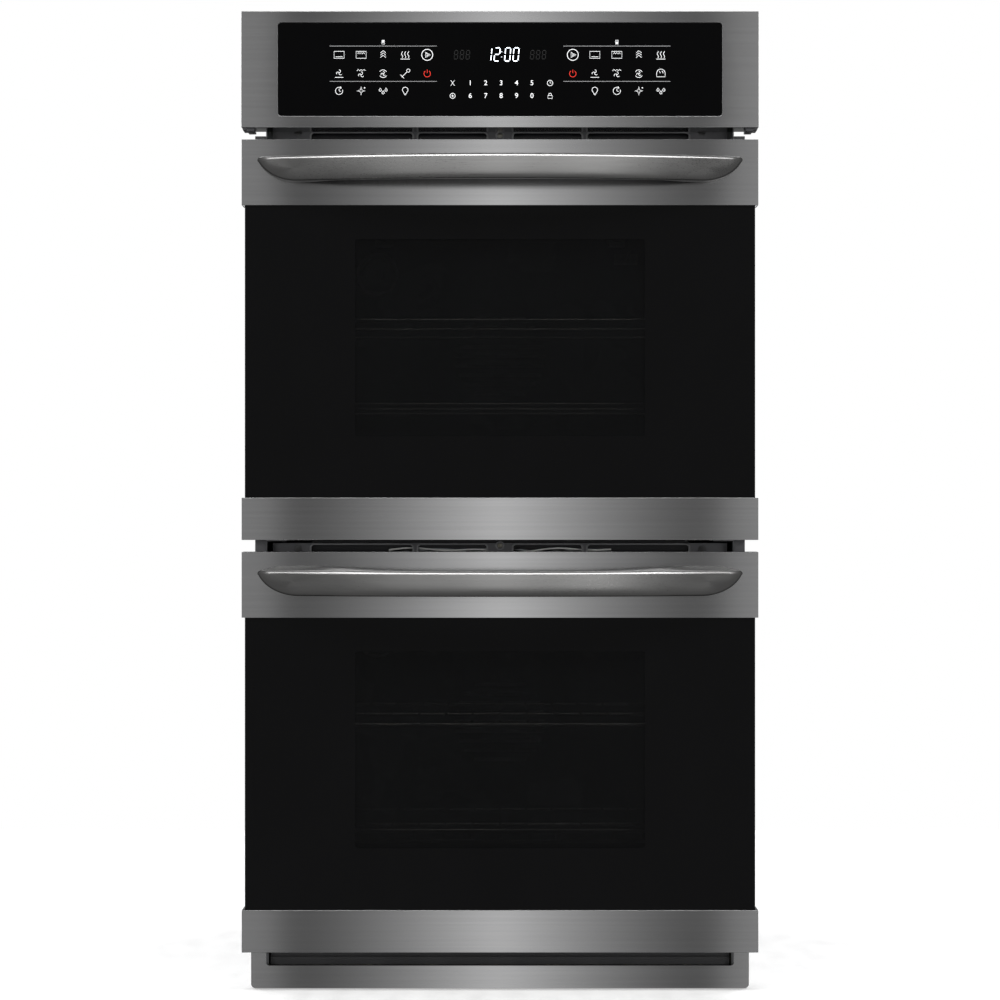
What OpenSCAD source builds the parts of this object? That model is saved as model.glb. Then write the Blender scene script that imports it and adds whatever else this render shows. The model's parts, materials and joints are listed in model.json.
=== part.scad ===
// Built-in double wall oven: two ovens, one above the other, under one touch control panel.
// X runs across the oven, -Y is the front and +Z is up.
// The origin is the centre of the casing's underside.

/* [Overall] */
// Width across the control panel and the doors
oven_w = 686; // [600:1:830]
// Depth of the casing behind the face of the cabinet
body_depth = 584; // [540:1:710]
// Height of each door
door_h = 531; // [480:1:640]
// Height of the control panel
panel_h = 154; // [140:1:190]
// Width on each side that overlaps the face of the cabinet
flange_w = 29; // [26:1:40]
// Thickness of the casing steel
sheet = 1.5; // [1:0.1:2]

/* [Doors] */
// Thickness of each door
door_t = 40; // [36:1:50]
// Space for the seal between a closed door and the front frame
seal_gap = 8; // [6:0.5:12]
// Gap above each door
door_gap = 16; // [15:1:24]
// Height of the lower door's edge above the casing's underside
door_base = 27; // [26:1:40]
// Height of the steel band across the top of a door
top_band_h = 87; // [70:1:110]
// Height of the steel band across the bottom of a door
bottom_band_h = 56; // [50:1:70]
// Thickness of the bands' steel
band_t = 1.2; // [0.8:0.1:2]
// How far the glass stands back from the bands
band_proud = 3; // [2:0.5:5]
// How much wider each band is than the glass, on each side
band_over = 4; // [2:0.5:8]
// Thickness of the front glass
glass_t = 4; // [3:0.5:5]
// Depth of the enamelled pan on the inside of a door
liner_d = 25; // [20:1:30]
// Thickness of the pan's steel
liner_t = 1.2; // [0.8:0.1:1.5]

/* [Window] */
// Width of the clear window
window_w = 384; // [300:1:460]
// Height of the clear window
window_h = 261; // [200:1:320]
// Height of the window's lower edge above the door's lower edge
window_up = 138; // [120:1:150]
// Width of the steel opening round the window, on each side
window_margin = 20; // [10:1:30]
// Thickness of each inner pane
pane_t = 4; // [3:0.5:5]
// How far a pane runs behind its steel frame
pane_lap = 10; // [6:1:12]

/* [Handles] */
// Distance from a door's side to the end of its handle
handle_inset = 23; // [15:1:60]
// Height of the handle bar
handle_h = 33; // [24:1:40]
// Thickness of the handle bar
handle_d = 14; // [10:1:16]
// Distance from the door's face to the outermost point of the handle
handle_reach = 62; // [50:1:80]
// How far the middle of the handle bows out past its ends
handle_bow = 43; // [20:1:44]
// Distance from the door's top to the middle of the handle
handle_drop = 41; // [36:1:50]
// Radius of the two posts that carry the handle
post_r = 8; // [5:0.5:10]
// Distance from the handle's end to the middle of its post
post_inset = 52; // [40:1:80]

/* [Hinges] */
// Depth of the hinge pins behind the doors' front face
pivot_in = 22; // [20:1:25]
// Height of the hinge pins above the doors' lower edge
pivot_up = 16; // [15:0.5:18]
// Radius of a hinge pin
hinge_pin_r = 4; // [3:0.5:5]
// Running clearance round every pin and shaft
running_gap = 0.05; // [0.02:0.01:0.1]
// Thickness of a hinge arm
arm_t = 5; // [4:0.5:6]
// Height of a hinge arm
arm_h = 14; // [12:1:15]
// Length of a hinge arm inside the casing
arm_in = 50; // [40:1:55]
// Inside width of the door's hinge channel
channel_w = 12; // [10:1:13]
// Height of the door's hinge channel
channel_h = 120; // [80:1:200]

/* [Ovens] */
// Width between the casing's outside and the inside of an oven, on each side
side_space = 60; // [56:1:80]
// Depth between the back of an oven and the back of the casing
rear_space = 104; // [100:1:130]
// Height of an oven's floor above its door's lower edge
cavity_rise = 58; // [56:1:70]
// Distance from an oven's ceiling to its door's top
cavity_drop = 53; // [52:1:70]
// Thickness of the ovens' steel
cavity_t = 1.2; // [0.8:0.1:1.5]
// Thickness of the insulation
wool_t = 26; // [15:1:27]
// Space under each oven's floor for the hidden element
under_gap = 12; // [10:0.5:14]
// Width of the seal's rope
seal_w = 10; // [6:1:12]
// Clearance between the seal's inner edge and the mouth of the oven
seal_in = 6; // [4:1:8]

/* [Racks] */
// Height of the lowest rail above the oven's floor
rail_first = 63; // [50:1:70]
// Spacing of the rails
rail_pitch = 57; // [45:1:60]
// How far a rail stands out of the wall
rail_d = 8; // [6:0.5:10]
// Height of a rail's section
rail_h = 5; // [3:0.5:8]
// Clearance between a rack and the wall on each side
rack_gap = 4; // [3:0.5:5]
// Radius of the racks' frame wire
frame_wire_r = 3; // [2.5:0.25:4]
// Radius of the racks' cross wire
thin_wire_r = 1.75; // [1.25:0.25:2.5]
// Spacing of the wires that run from front to back
wire_pitch = 38; // [25:1:60]
// Distance from the face of the cabinet to the front of a rack
rack_front = 26; // [20:1:40]
// Height of the raised rack's wires above its rails
rack_lift = 14; // [8:1:20]

/* [Fans] */
// Radius of a convection fan
fan_r = 72; // [50:1:78]
// Radius of the fans' shafts
shaft_r = 4; // [3:0.5:5]
// Size of a fan cover's square face
cover_size = 250; // [240:1:300]
// Depth of a fan cover
cover_d = 38; // [36:1:50]
// Radius of the ring element round a fan
ring_r = 96; // [90:1:106]
// Radius of the heating elements' tube
tube_r = 4; // [3:0.5:4.5]
// Radius of the cooling blower's wheel
blower_r = 68; // [50:1:80]
// Height of the cooling blower's wheel
blower_h = 50; // [35:1:55]

/* [Control panel] */
// Width of steel beside the touch glass
glass_side = 48.5; // [30:0.5:70]
// Height of steel above and below the touch glass
glass_edge = 14.8; // [10:0.1:25]
// Radius of the opening's corners
glass_corner = 4.5; // [2:0.5:8]
// Clearance round the touch glass
glass_gap = 0.4; // [0.2:0.1:1]
// Thickness of the touch glass
touch_t = 4; // [3:0.5:6]
// Thickness of the control panel's steel
panel_t = 1.5; // [1:0.1:2]
// How far the control panel stands above the casing
panel_above = 20; // [5:1:30]

/* [Trims and vents] */
// Thickness of the trims that lie on the cabinet
trim_t = 2; // [1:0.25:2.5]
// Width of the side trims
side_trim_w = 14.5; // [12:0.5:20]
// Width of the bottom trim's legs
bottom_leg_w = 20; // [15:0.5:24]
// How far the bottom trim hangs below the casing
bottom_drop = 28; // [15:1:40]
// How far the vent panels stand back from the face of the cabinet
vent_in = 14; // [10:1:18]
// Radius of the installer's screw holes in the side trims
mount_hole_r = 2.6; // [2:0.1:3.5]
// Height of the lower pair of those holes
mount_hole_z = 140; // [100:1:300]
// Height from the lower to the upper pair
mount_hole_span = 900; // [700:1:950]
// Bore of the conduit entry at the back
gland_bore_r = 11.1; // [8:0.1:14]
// Length of the conduit entry
gland_l = 14; // [10:1:25]

/* [Door latch] */
// Radius of the latch hook's swing
latch_r = 34; // [30:1:38]
// Height of the hook above an oven's ceiling
latch_up = 33; // [32:0.5:34]
// Radius of the latch pin
latch_pin_r = 3; // [2:0.5:4]
// Thickness of the latch hook
hook_t = 3; // [2:0.5:3.5]
// Radius of the door switch's plunger
plunger_r = 2.5; // [1.5:0.5:3]

/* [Hidden] */
$fn = 48;

LOWER = 0;
UPPER = 1;
// Cuts run this far past the faces they go through
past = 1;

// Finishes
black_steel = [0.3, 0.3, 0.31];
handle_steel = [0.42, 0.42, 0.43];
galvanised = [0.7, 0.71, 0.72];
dark_paint = [0.16, 0.16, 0.17];
enamel = [0.13, 0.14, 0.18];
black_glass = [0.03, 0.03, 0.035];
wire_chrome = [0.78, 0.78, 0.78];
wool = [0.88, 0.83, 0.6];

// Planes across the oven
face_y = -body_depth / 2;
rear_y = body_depth / 2;
door_rear_y = face_y - seal_gap;
door_front_y = door_rear_y - door_t;
pivot_y = door_front_y + pivot_in;

// Casing
body_w = oven_w - 2 * flange_w;
inner_w = body_w - 2 * sheet;
panel_z = door_base + 2 * (door_h + door_gap);
casing_h = panel_z + panel_h - panel_above;
pan_h = 18;

// Ovens
cavity_w = body_w - 2 * side_space;
cavity_h = door_h - cavity_rise - cavity_drop;
cavity_back = rear_y - rear_space;
frame_down = 22;
frame_up = 44;
wool_back = cavity_back + cavity_t + wool_t;
// Air left between pieces that only stand beside each other
air_gap = 2;

// Fans, lamps and probes on the back wall of each oven
shaft_hole_r = shaft_r + 3;
wheel_d = 20;
wheel_y = cavity_back - 12;
motor_l = 44;
lamp_x = -185;
lamp_drop = 84;
lamp_r = 25;
lamp_flange_t = 3;
probe_x = 190;
probe_drop = 62;
probe_r = 2.5;

// Doors
door_w = oven_w - 1;
liner_w = body_w + 36;
// The bands end this far in front of a door's rear plane, so that their corner clears the trims
band_set = 4;
liner_foot = 6;
liner_head = 5;
hinge_x = inner_w / 2 - 15.5;
channel_t = 1.5;
arm_eye_r = hinge_pin_r + 5;
arm_slot_w = channel_w + 4;

// The base pan's front edge stands this far back, clear of the air slot
air_slot_depth = 6;

// Latch and switch, both behind the front frame
latch_y = face_y + 16;
latch_x = -latch_r;
hook_w = 10;
hook_turn = 45;
switch_x = 56;
switch_lift = 3;
switch_d = 26;

// Vents
vent_y = face_y + vent_in;
vent_w = body_w - 16;
// How far a vent panel and its slots reach above the door below it, lower then upper
vent_rise = [11, 24];
vent_slot_rise = [10.5, 18];
vent_slot_h = 18;
// Middle and width of the slots on each side of a vent panel
vent_slots = [[64, 93], [186, 137]];
vent_hole_rise = [7.6, 12.9];
vent_hole_r = 4.5;
vent_screw_x = vent_w / 2 - 34;
vent_screw_rise = [3, 17];

// Control panel; the glass is set back a little from the steel
touch_w = oven_w - 2 * glass_side;
touch_h = panel_h - 2 * glass_edge;
touch_z = panel_z + panel_h / 2;
touch_set = 0.6;
board_y = door_front_y + 26;
board_margin = 8;

// Screws
screw_r = 1.8;
screw_hole_r = 2;
screw_head_r = 4.2;
screw_head_h = 1.6;
screw_l = 9;

// Top bay, above the upper oven
deck_z = door_base + 2 * door_h + door_gap - cavity_drop + cavity_t + wool_t + 4;
blower_y = face_y + 250;
scroll_gap = 12;
gland_x = -265;
gland_z = casing_h - 55;

function door_z(i) = door_base + i * (door_h + door_gap);
function door_top(i) = door_z(i) + door_h;
function cavity_z(i) = door_z(i) + cavity_rise;
function cavity_top(i) = cavity_z(i) + cavity_h;
function pivot_z(i) = door_z(i) + pivot_up;
function fan_z(i) = cavity_z(i) + cavity_h / 2;
function latch_z(i) = cavity_top(i) + latch_up;
function window_mid(i) = door_z(i) + window_up + window_h / 2;
function rail_z(i, level) = cavity_z(i) + rail_first + rail_pitch * level;
// Points of a rectangle with round corners, centred on the origin
function round_points(w, h, r, n = 6) = [
    for (corner = [0:3], step = [0:n])
        let (a = 90 * corner + 90 * step / n,
             cx = (corner == 0 || corner == 3 ? 1 : -1) * (w / 2 - r),
             cz = (corner < 2 ? 1 : -1) * (h / 2 - r))
            [cx + r * cos(a), cz + r * sin(a)]
];

// Block between two corners
module block(low, high) {
    translate(low)
        cube(high - low);
}

// Children, and their mirror image on the other side
module both_sides() {
    children();
    mirror([1, 0, 0])
        children();
}

// Outline drawn in X and Z, run from y0 towards the back
module along_y(y0, length) {
    translate([0, y0 + length, 0])
        rotate([90, 0, 0])
            linear_extrude(length)
                children();
}

// Round bar along Y
module rod_y(r, x, y0, y1, z, sides = 48) {
    translate([x, y1, z])
        rotate([90, 0, 0])
            cylinder(r = r, h = y1 - y0, $fn = sides);
}

// Round bar along X
module rod_x(r, x0, x1, y, z, sides = 48) {
    translate([x0, y, z])
        rotate([0, 90, 0])
            cylinder(r = r, h = x1 - x0, $fn = sides);
}

// Round bar along Z
module rod_z(r, x, y, z0, z1, sides = 48) {
    translate([x, y, z0])
        cylinder(r = r, h = z1 - z0, $fn = sides);
}

// Slot with round ends, cut through a panel that faces front
module front_slot(x, z, w, h, y0, length) {
    along_y(y0, length)
        translate([x, z])
            polygon(round_points(w, h, min(w, h) / 2 - 0.01));
}

// Slot with round ends, cut through a level panel
module level_slot(x, y, w, h, z0, length) {
    translate([x, y, z0])
        linear_extrude(length)
            polygon(round_points(w, h, min(w, h) / 2 - 0.01));
}

// ---------- Casing ----------

module base_pan() {
    front = face_y + air_slot_depth;
    color(galvanised)
        difference() {
            block([-inner_w / 2, front, 0], [inner_w / 2, rear_y - sheet, pan_h]);
            block([-inner_w / 2 + sheet, front - past, sheet],
                  [inner_w / 2 - sheet, rear_y - 2 * sheet, pan_h + past]);
            for (x = [-200:100:200])
                level_slot(x, rear_y - 80, 60, 10, -past, sheet + 2 * past);
        }
}

module side_panel() {
    rear_flange = 12;
    block([inner_w / 2, face_y, 0], [body_w / 2, rear_y, casing_h]);
    block([inner_w / 2 - rear_flange, rear_y - 2 * sheet, pan_h + air_gap],
          [body_w / 2 - sheet / 2, rear_y - sheet, casing_h - sheet - air_gap]);
}

module left_side_panel() {
    color(galvanised)
        mirror([1, 0, 0])
            side_panel();
}

module right_side_panel() {
    color(galvanised)
        side_panel();
}

module back_panel() {
    louvre_w = 90;
    color(galvanised)
        difference() {
            block([-inner_w / 2, rear_y - sheet, 0], [inner_w / 2, rear_y, casing_h]);
            for (x = [-120:120:240], row = [0:3], base = [60, casing_h - 110])
                front_slot(x - 60, base + 20 * row, louvre_w, 7, rear_y - sheet - past, sheet + 2 * past);
            rod_y(gland_bore_r + 4.2, gland_x, rear_y - sheet - past, rear_y + past, gland_z);
        }
}

module top_cover() {
    color(galvanised)
        difference() {
            block([-inner_w / 2, face_y, casing_h - sheet], [inner_w / 2, rear_y - sheet, casing_h]);
            for (x = [-225:75:225], y = [rear_y - 120, rear_y - 90])
                level_slot(x, y, 50, 8, casing_h - sheet - past, sheet + 2 * past);
        }
}

// Flat channel that leads cooling air between the two ovens
module mid_duct() {
    low = door_top(LOWER) - 12;
    high = door_top(LOWER) + 20;
    half = cavity_w / 2;
    color(galvanised)
        difference() {
            block([-half, face_y + 75, low], [half, rear_y - 40, high]);
            block([-half + sheet, face_y + 75 - past, low + sheet],
                  [half - sheet, rear_y - 40 + past, high - sheet]);
        }
}

// Slotted panel seen in the gap above a door
module vent_panel(i) {
    low = cavity_top(i) + frame_up;
    high = door_top(i) + vent_rise[i];
    slot_z = door_top(i) + vent_slot_rise[i] - vent_slot_h / 2;
    difference() {
        union() {
            block([-vent_w / 2, vent_y, low], [vent_w / 2, vent_y + sheet, high]);
            block([-vent_w / 2, face_y, low], [vent_w / 2, vent_y + sheet / 2, low + sheet]);
            block([-vent_w / 2, vent_y + sheet / 2, high - sheet], [vent_w / 2, vent_y + 20, high]);
        }
        both_sides()
            for (slot = vent_slots)
                along_y(vent_y - past, sheet + 2 * past)
                    translate([slot[0], slot_z])
                        polygon(round_points(slot[1], vent_slot_h - 2 * sheet, 5));
        rod_y(vent_hole_r, 0, vent_y - past, vent_y + sheet + past, door_top(i) + vent_hole_rise[i]);
        both_sides()
            rod_y(screw_hole_r, vent_screw_x, vent_y - past, vent_y + sheet + past,
                  door_top(i) + vent_screw_rise[i]);
    }
}

module upper_vent_panel() {
    color(dark_paint)
        vent_panel(UPPER);
}

module middle_vent_panel() {
    color(dark_paint)
        vent_panel(LOWER);
}

// ---------- Ovens ----------

// Enamelled box with its front frame and rack rails
module cavity(i) {
    floor_z = cavity_z(i);
    half = cavity_w / 2;
    difference() {
        union() {
            block([-half - cavity_t, face_y, floor_z - cavity_t],
                  [half + cavity_t, cavity_back + cavity_t, cavity_top(i) + cavity_t]);
            block([-inner_w / 2, face_y, floor_z - frame_down],
                  [inner_w / 2, face_y + sheet, cavity_top(i) + frame_up]);
        }
        block([-half, face_y - past, floor_z], [half, cavity_back, cavity_top(i)]);
        back_holes(i, cavity_back - past, cavity_t + 2 * past);
        block([latch_x + 10, face_y - past, latch_z(i) - hook_t - 1],
              [latch_x + latch_r + 12, face_y + sheet + past, latch_z(i) + hook_t + 1]);
        rod_y(plunger_r + 1.5, switch_x, face_y - past, face_y + sheet + past, latch_z(i) + switch_lift);
    }
    both_sides()
        for (level = [0:4])
            block([half - rail_d, face_y + 30, rail_z(i, level) - rail_h],
                  [half + cavity_t / 2, cavity_back - 45, rail_z(i, level)]);
}

// Holes for the fan shaft, the lamp and the temperature probe
module back_holes(i, y0, length) {
    rod_y(shaft_hole_r, 0, y0, y0 + length, fan_z(i));
    rod_y(lamp_r + 0.5, lamp_x, y0, y0 + length, cavity_top(i) - lamp_drop);
    rod_y(probe_r + 0.5, probe_x, y0, y0 + length, cavity_top(i) - probe_drop);
}

module upper_cavity() {
    color(enamel)
        cavity(UPPER);
}

module lower_cavity() {
    color(enamel)
        cavity(LOWER);
}

module insulation_blankets() {
    half = cavity_w / 2 + cavity_t;
    front = face_y + sheet + air_gap;
    color(wool)
        for (i = [LOWER, UPPER])
            difference() {
                low = cavity_z(i) - cavity_t - under_gap;
                high = cavity_top(i) + cavity_t;
                block([-half - wool_t, front, low - wool_t], [half + wool_t, wool_back, high + wool_t]);
                block([-half, front - past, low], [half, wool_back - wool_t, high]);
                back_holes(i, wool_back - wool_t - past, wool_t + 2 * past);
            }
}

module door_gaskets() {
    in_w = cavity_w + 2 * seal_in;
    in_h = cavity_h + 2 * seal_in;
    color(dark_paint)
        for (i = [LOWER, UPPER])
            along_y(door_rear_y + 0.4, seal_gap - 0.4)
                translate([0, fan_z(i)])
                    difference() {
                        polygon(round_points(in_w + 2 * seal_w, in_h + 2 * seal_w, 20));
                        polygon(round_points(in_w, in_h, 10));
                    }
}

// Half turn between two straight runs of tube, opening towards the back or the front
module tube_bend(x, y, z, bend_r, r, turn) {
    translate([x, y, z])
        rotate([0, 0, turn])
            rotate_extrude(angle = 180)
                translate([bend_r, 0])
                    circle(r);
}

// Tube that runs to and fro across an oven, from y0 at the front to y1 at the back
module serpentine(runs, pitch, r, y0, y1, z) {
    start = -(runs - 1) * pitch / 2;
    for (n = [0:runs - 1])
        rod_y(r, start + n * pitch, y0, n == 0 || n == runs - 1 ? y1 + pitch / 2 : y1, z);
    for (n = [0:runs - 2])
        tube_bend(start + (n + 0.5) * pitch, n % 2 == 0 ? y0 : y1, z, pitch / 2, r, n % 2 == 0 ? 180 : 0);
}

module broil_elements() {
    drop = 32;
    pitch = 70;
    y1 = cavity_back - 60;
    y0 = face_y + 90;
    color("dimgray")
        for (i = [LOWER, UPPER]) {
            z = cavity_top(i) - drop;
            serpentine(6, pitch, tube_r, y0, y1, z);
            for (x = [-2.5, 2.5])
                rod_y(tube_r, x * pitch, y1 + pitch / 2 - 0.5, cavity_back - sheet / 2, z);
            for (x = [-2.5, 2.5])
                block([x * pitch - 14, cavity_back - sheet, z - 12], [x * pitch + 14, cavity_back, z + 12]);
            for (x = [-1.5, 1.5])
                block([x * pitch - 1, y0 + 80, z - 2], [x * pitch + 1, y0 + 100, cavity_top(i)]);
        }
}

module bake_elements() {
    pitch = 110;
    r = min(tube_r, under_gap / 2 - 1);
    color("dimgray")
        for (i = [LOWER, UPPER])
            serpentine(4, pitch, r, face_y + 120, cavity_back - 90, cavity_z(i) - cavity_t - under_gap / 2);
}

module ring_elements() {
    y = cavity_back - cover_d / 2 + 4;
    color("dimgray")
        for (i = [LOWER, UPPER]) {
            translate([0, y, fan_z(i)])
                rotate([90, 0, 0])
                    rotate_extrude()
                        translate([ring_r, 0])
                            circle(tube_r);
            for (x = [-10, 10])
                rod_y(tube_r - 0.5, x, y, cavity_back - 0.2, fan_z(i) - sqrt(ring_r * ring_r - x * x));
        }
}

// Square pan over a fan, with a round grille and long slots along two sides
module fan_cover(i) {
    half = cover_size / 2;
    front = cavity_back - cover_d;
    z = fan_z(i);
    difference() {
        block([-half, front, z - half], [half, cavity_back, z + half]);
        block([-half + cavity_t, front + cavity_t, z - half + cavity_t],
              [half - cavity_t, cavity_back + past, z + half - cavity_t]);
        for (row = [-4:4])
            front_slot(0, z + row * 14, 2 * sqrt(68 * 68 - 196 * row * row), 6,
                       front - past, cavity_t + 2 * past);
        both_sides()
            for (n = [-2:2])
                block([half - cavity_t - past, front + 10, z + n * 42 - 15],
                      [half + past, front + 22, z + n * 42 + 15]);
    }
}

module fan_covers() {
    color(enamel)
        for (i = [LOWER, UPPER])
            fan_cover(i);
}

// Hub, disc, blades and shaft of one convection fan
module fan_wheel(i) {
    blades = 10;
    hub_r = 12;
    blade_w = fan_r - hub_r;
    translate([0, wheel_y, fan_z(i)])
        rotate([90, 0, 0]) {
            cylinder(r = fan_r, h = 1.5);
            translate([0, 0, -1])
                cylinder(r = hub_r, h = wheel_d - 2);
            for (n = [0:blades - 1])
                rotate([0, 0, n * 360 / blades])
                    translate([hub_r - 1, -1, 0.5])
                        cube([blade_w - 1, 2, wheel_d - 5]);
            translate([0, 0, wheel_y - wool_back - motor_l + 6])
                cylinder(r = shaft_r, h = motor_l - 6 + wool_back - wheel_y + wheel_d - 8);
        }
}

module upper_fan_wheel() {
    color("silver")
        fan_wheel(UPPER);
}

module lower_fan_wheel() {
    color("silver")
        fan_wheel(LOWER);
}

module fan_motors() {
    plate = 45;
    can_r = 34;
    y0 = wool_back + air_gap;
    color("slategray")
        for (i = [LOWER, UPPER])
            difference() {
                union() {
                    block([-plate, y0, fan_z(i) - plate], [plate, y0 + 2, fan_z(i) + plate]);
                    rod_y(can_r, 0, y0 + 1, y0 + motor_l, fan_z(i));
                    rod_y(10, 0, y0 + motor_l - 1, y0 + motor_l + 6, fan_z(i));
                }
                rod_y(shaft_r + running_gap, 0, y0 - past, y0 + motor_l + past, fan_z(i));
            }
}

module lamp_holders() {
    bulb_r = 5;
    color("whitesmoke")
        for (i = [LOWER, UPPER]) {
            z = cavity_top(i) - lamp_drop;
            difference() {
                union() {
                    rod_y(lamp_r + 7, lamp_x, cavity_back - lamp_flange_t, cavity_back, z);
                    rod_y(lamp_r, lamp_x, cavity_back - 1, wool_back + 8, z);
                }
                rod_y(lamp_r - 2, lamp_x, cavity_back - lamp_flange_t - past, wool_back, z);
            }
            rod_y(9, lamp_x, cavity_back + 4, wool_back, z);
            rod_y(bulb_r, lamp_x, cavity_back - 14, cavity_back + 4, z);
        }
}

// Domed glass over each lamp
module lamp_lenses() {
    rim_r = lamp_r + 2;
    dome_d = 18;
    ball_r = (rim_r * rim_r + dome_d * dome_d) / (2 * dome_d);
    wall = 2;
    color([0.9, 0.95, 1, 0.5])
        for (i = [LOWER, UPPER])
            translate([lamp_x, cavity_back - lamp_flange_t, cavity_top(i) - lamp_drop])
                rotate([90, 0, 0])
                    difference() {
                        translate([0, 0, dome_d - ball_r])
                            sphere(ball_r);
                        translate([0, 0, dome_d - ball_r])
                            sphere(ball_r - wall);
                        translate([0, 0, -2 * ball_r])
                            cylinder(r = 2 * ball_r, h = 2 * ball_r);
                    }
}

module temperature_probes() {
    color("silver")
        for (i = [LOWER, UPPER]) {
            z = cavity_top(i) - probe_drop;
            rod_y(probe_r, probe_x, cavity_back - 110, wool_back - 4, z);
            block([probe_x - 18, cavity_back - 2, z - 8], [probe_x + 18, cavity_back, z + 8]);
        }
}

// ---------- Racks ----------

// Wire rack on the rails of one level; lift raises its deck and turns its front edge up
module rack(i, level, lift) {
    half = cavity_w / 2 - rack_gap - frame_wire_r;
    front = face_y + rack_front + frame_wire_r;
    back = cavity_back - cover_d - 10;
    rod_h = rail_z(i, level) + 0.3 + frame_wire_r;
    deck = rod_h + lift;
    lip = lift > 0 ? lift : 0;
    wires = floor((half - 12) / wire_pitch);
    color(wire_chrome) {
        both_sides()
            rod_y(frame_wire_r, half, front, back, rod_h, 8);
        for (y = [front, (front + back) / 2, back])
            rod_x(frame_wire_r, -half, half, y, deck, 8);
        if (lift > 0) {
            both_sides()
                for (y = [front, (front + back) / 2, back])
                    rod_z(frame_wire_r, half, y, rod_h, deck, 8);
            both_sides()
                rod_z(frame_wire_r, half, front, deck, deck + lip, 8);
            rod_x(frame_wire_r, -half, half, front, deck + lip, 8);
        }
        for (n = [-wires:wires]) {
            rod_y(thin_wire_r, n * wire_pitch, front, back, deck + frame_wire_r, 8);
            if (lift > 0)
                rod_z(thin_wire_r, n * wire_pitch, front, deck, deck + lip, 8);
        }
    }
}

module upper_rack_high() {
    rack(UPPER, 3, 0);
}

module upper_rack_low() {
    rack(UPPER, 1, 0);
}

module lower_rack_high() {
    rack(LOWER, 3, 0);
}

module lower_rack_low() {
    rack(LOWER, 0, rack_lift);
}

// ---------- Cooling blower ----------

module blower_housing() {
    scroll_r = blower_r + scroll_gap;
    top = deck_z + sheet + blower_h + 10;
    mouth_y = face_y + 60;
    wall = 1.5;
    color(galvanised)
        difference() {
            union() {
                block([-inner_w / 2, face_y + 75, deck_z], [inner_w / 2, rear_y - 40, deck_z + sheet]);
                rod_z(scroll_r, 0, blower_y, deck_z + sheet / 2, top);
                block([-scroll_r, mouth_y, deck_z + sheet / 2], [0, blower_y, top]);
            }
            rod_z(scroll_r - wall, 0, blower_y, deck_z + sheet, top - wall);
            block([-scroll_r + wall, mouth_y - past, deck_z + sheet], [-wall, blower_y, top - wall]);
            rod_z(blower_r - 12, 0, blower_y, deck_z - past, deck_z + sheet + past);
            rod_z(shaft_r + 4, 0, blower_y, top - wall - past, top + past);
        }
}

module blower_wheel() {
    vanes = 24;
    low = deck_z + sheet + 4;
    wall = 2;
    color("dimgray") {
        rod_z(blower_r - 1, 0, blower_y, low + blower_h - wall, low + blower_h);
        difference() {
            rod_z(blower_r, 0, blower_y, low, low + wall);
            rod_z(blower_r - 14, 0, blower_y, low - past, low + wall + past);
        }
        for (n = [0:vanes - 1])
            translate([0, blower_y, low + wall / 2])
                rotate([0, 0, n * 360 / vanes])
                    translate([blower_r - 11, -0.75, 0])
                        cube([9, 1.5, blower_h - wall]);
        rod_z(10, 0, blower_y, low + blower_h - 18, low + blower_h - wall / 2);
        rod_z(shaft_r, 0, blower_y, low + blower_h - 18, low + blower_h + 40);
    }
}

module blower_motor() {
    top = deck_z + sheet + blower_h + 10;
    color("slategray")
        difference() {
            union() {
                block([-60, blower_y - 20, top], [60, blower_y + 20, top + 2]);
                rod_z(36, 0, blower_y, top + 1, top + 42);
                rod_z(12, 0, blower_y, top + 41, top + 50);
            }
            rod_z(shaft_r + running_gap, 0, blower_y, top - past, top + 46);
        }
}

module terminal_block() {
    color("ivory")
        difference() {
            block([gland_x - 40, rear_y - 110, deck_z + sheet], [gland_x + 40, rear_y - 80, deck_z + 26]);
            for (x = [-24, -8, 8, 24])
                rod_z(3, gland_x + x, rear_y - 95, deck_z + 14, deck_z + 26 + past);
        }
}

module conduit_gland() {
    outer_r = gland_bore_r + 4;
    color("silver")
        difference() {
            union() {
                rod_y(outer_r, gland_x, rear_y + 4 - gland_l, rear_y + 4, gland_z);
                rod_y(outer_r + 5, gland_x, rear_y, rear_y + 4, gland_z);
            }
            rod_y(gland_bore_r, gland_x, rear_y + 4 - gland_l - past, rear_y + 4 + past, gland_z);
        }
}

// ---------- Control panel ----------

module control_frame() {
    half = oven_w / 2;
    color(black_steel)
        difference() {
            block([-half, door_front_y, panel_z], [half, face_y, panel_z + panel_h]);
            block([-half + panel_t, door_front_y + panel_t, panel_z + panel_t],
                  [half - panel_t, face_y + past, panel_z + panel_h - panel_t]);
            along_y(door_front_y - past, panel_t + 2 * past)
                translate([0, touch_z])
                    polygon(round_points(touch_w, touch_h, glass_corner));
        }
}

module control_glass() {
    color(black_glass)
        along_y(door_front_y + touch_set, touch_t)
            translate([0, touch_z])
                polygon(round_points(touch_w - 2 * glass_gap, touch_h - 2 * glass_gap, glass_corner));
}

// Tray behind the glass that holds the board and closes the panel's back
module control_housing() {
    half_w = touch_w / 2 + 8;
    half_h = touch_h / 2 + 6;
    front = door_front_y + touch_set + touch_t + 0.4;
    back = face_y - air_gap / 2;
    wall = 2;
    color(dark_paint)
        difference() {
            block([-half_w, front, touch_z - half_h], [half_w, back, touch_z + half_h]);
            block([-half_w + wall, front - past, touch_z - half_h + wall],
                  [half_w - wall, back - wall, touch_z + half_h - wall]);
        }
}

module control_board() {
    color("darkgreen")
        block([-touch_w / 2 + board_margin, board_y, touch_z - touch_h / 2 + board_margin],
              [touch_w / 2 - board_margin, board_y + 1.6, touch_z + touch_h / 2 - board_margin]);
}

module display_module() {
    half_w = 80;
    low = touch_z + 12;
    color("black")
        block([-half_w, door_front_y + touch_set + touch_t + 1, low], [half_w, board_y, low + 34]);
}

// ---------- Trims and screws ----------

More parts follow.
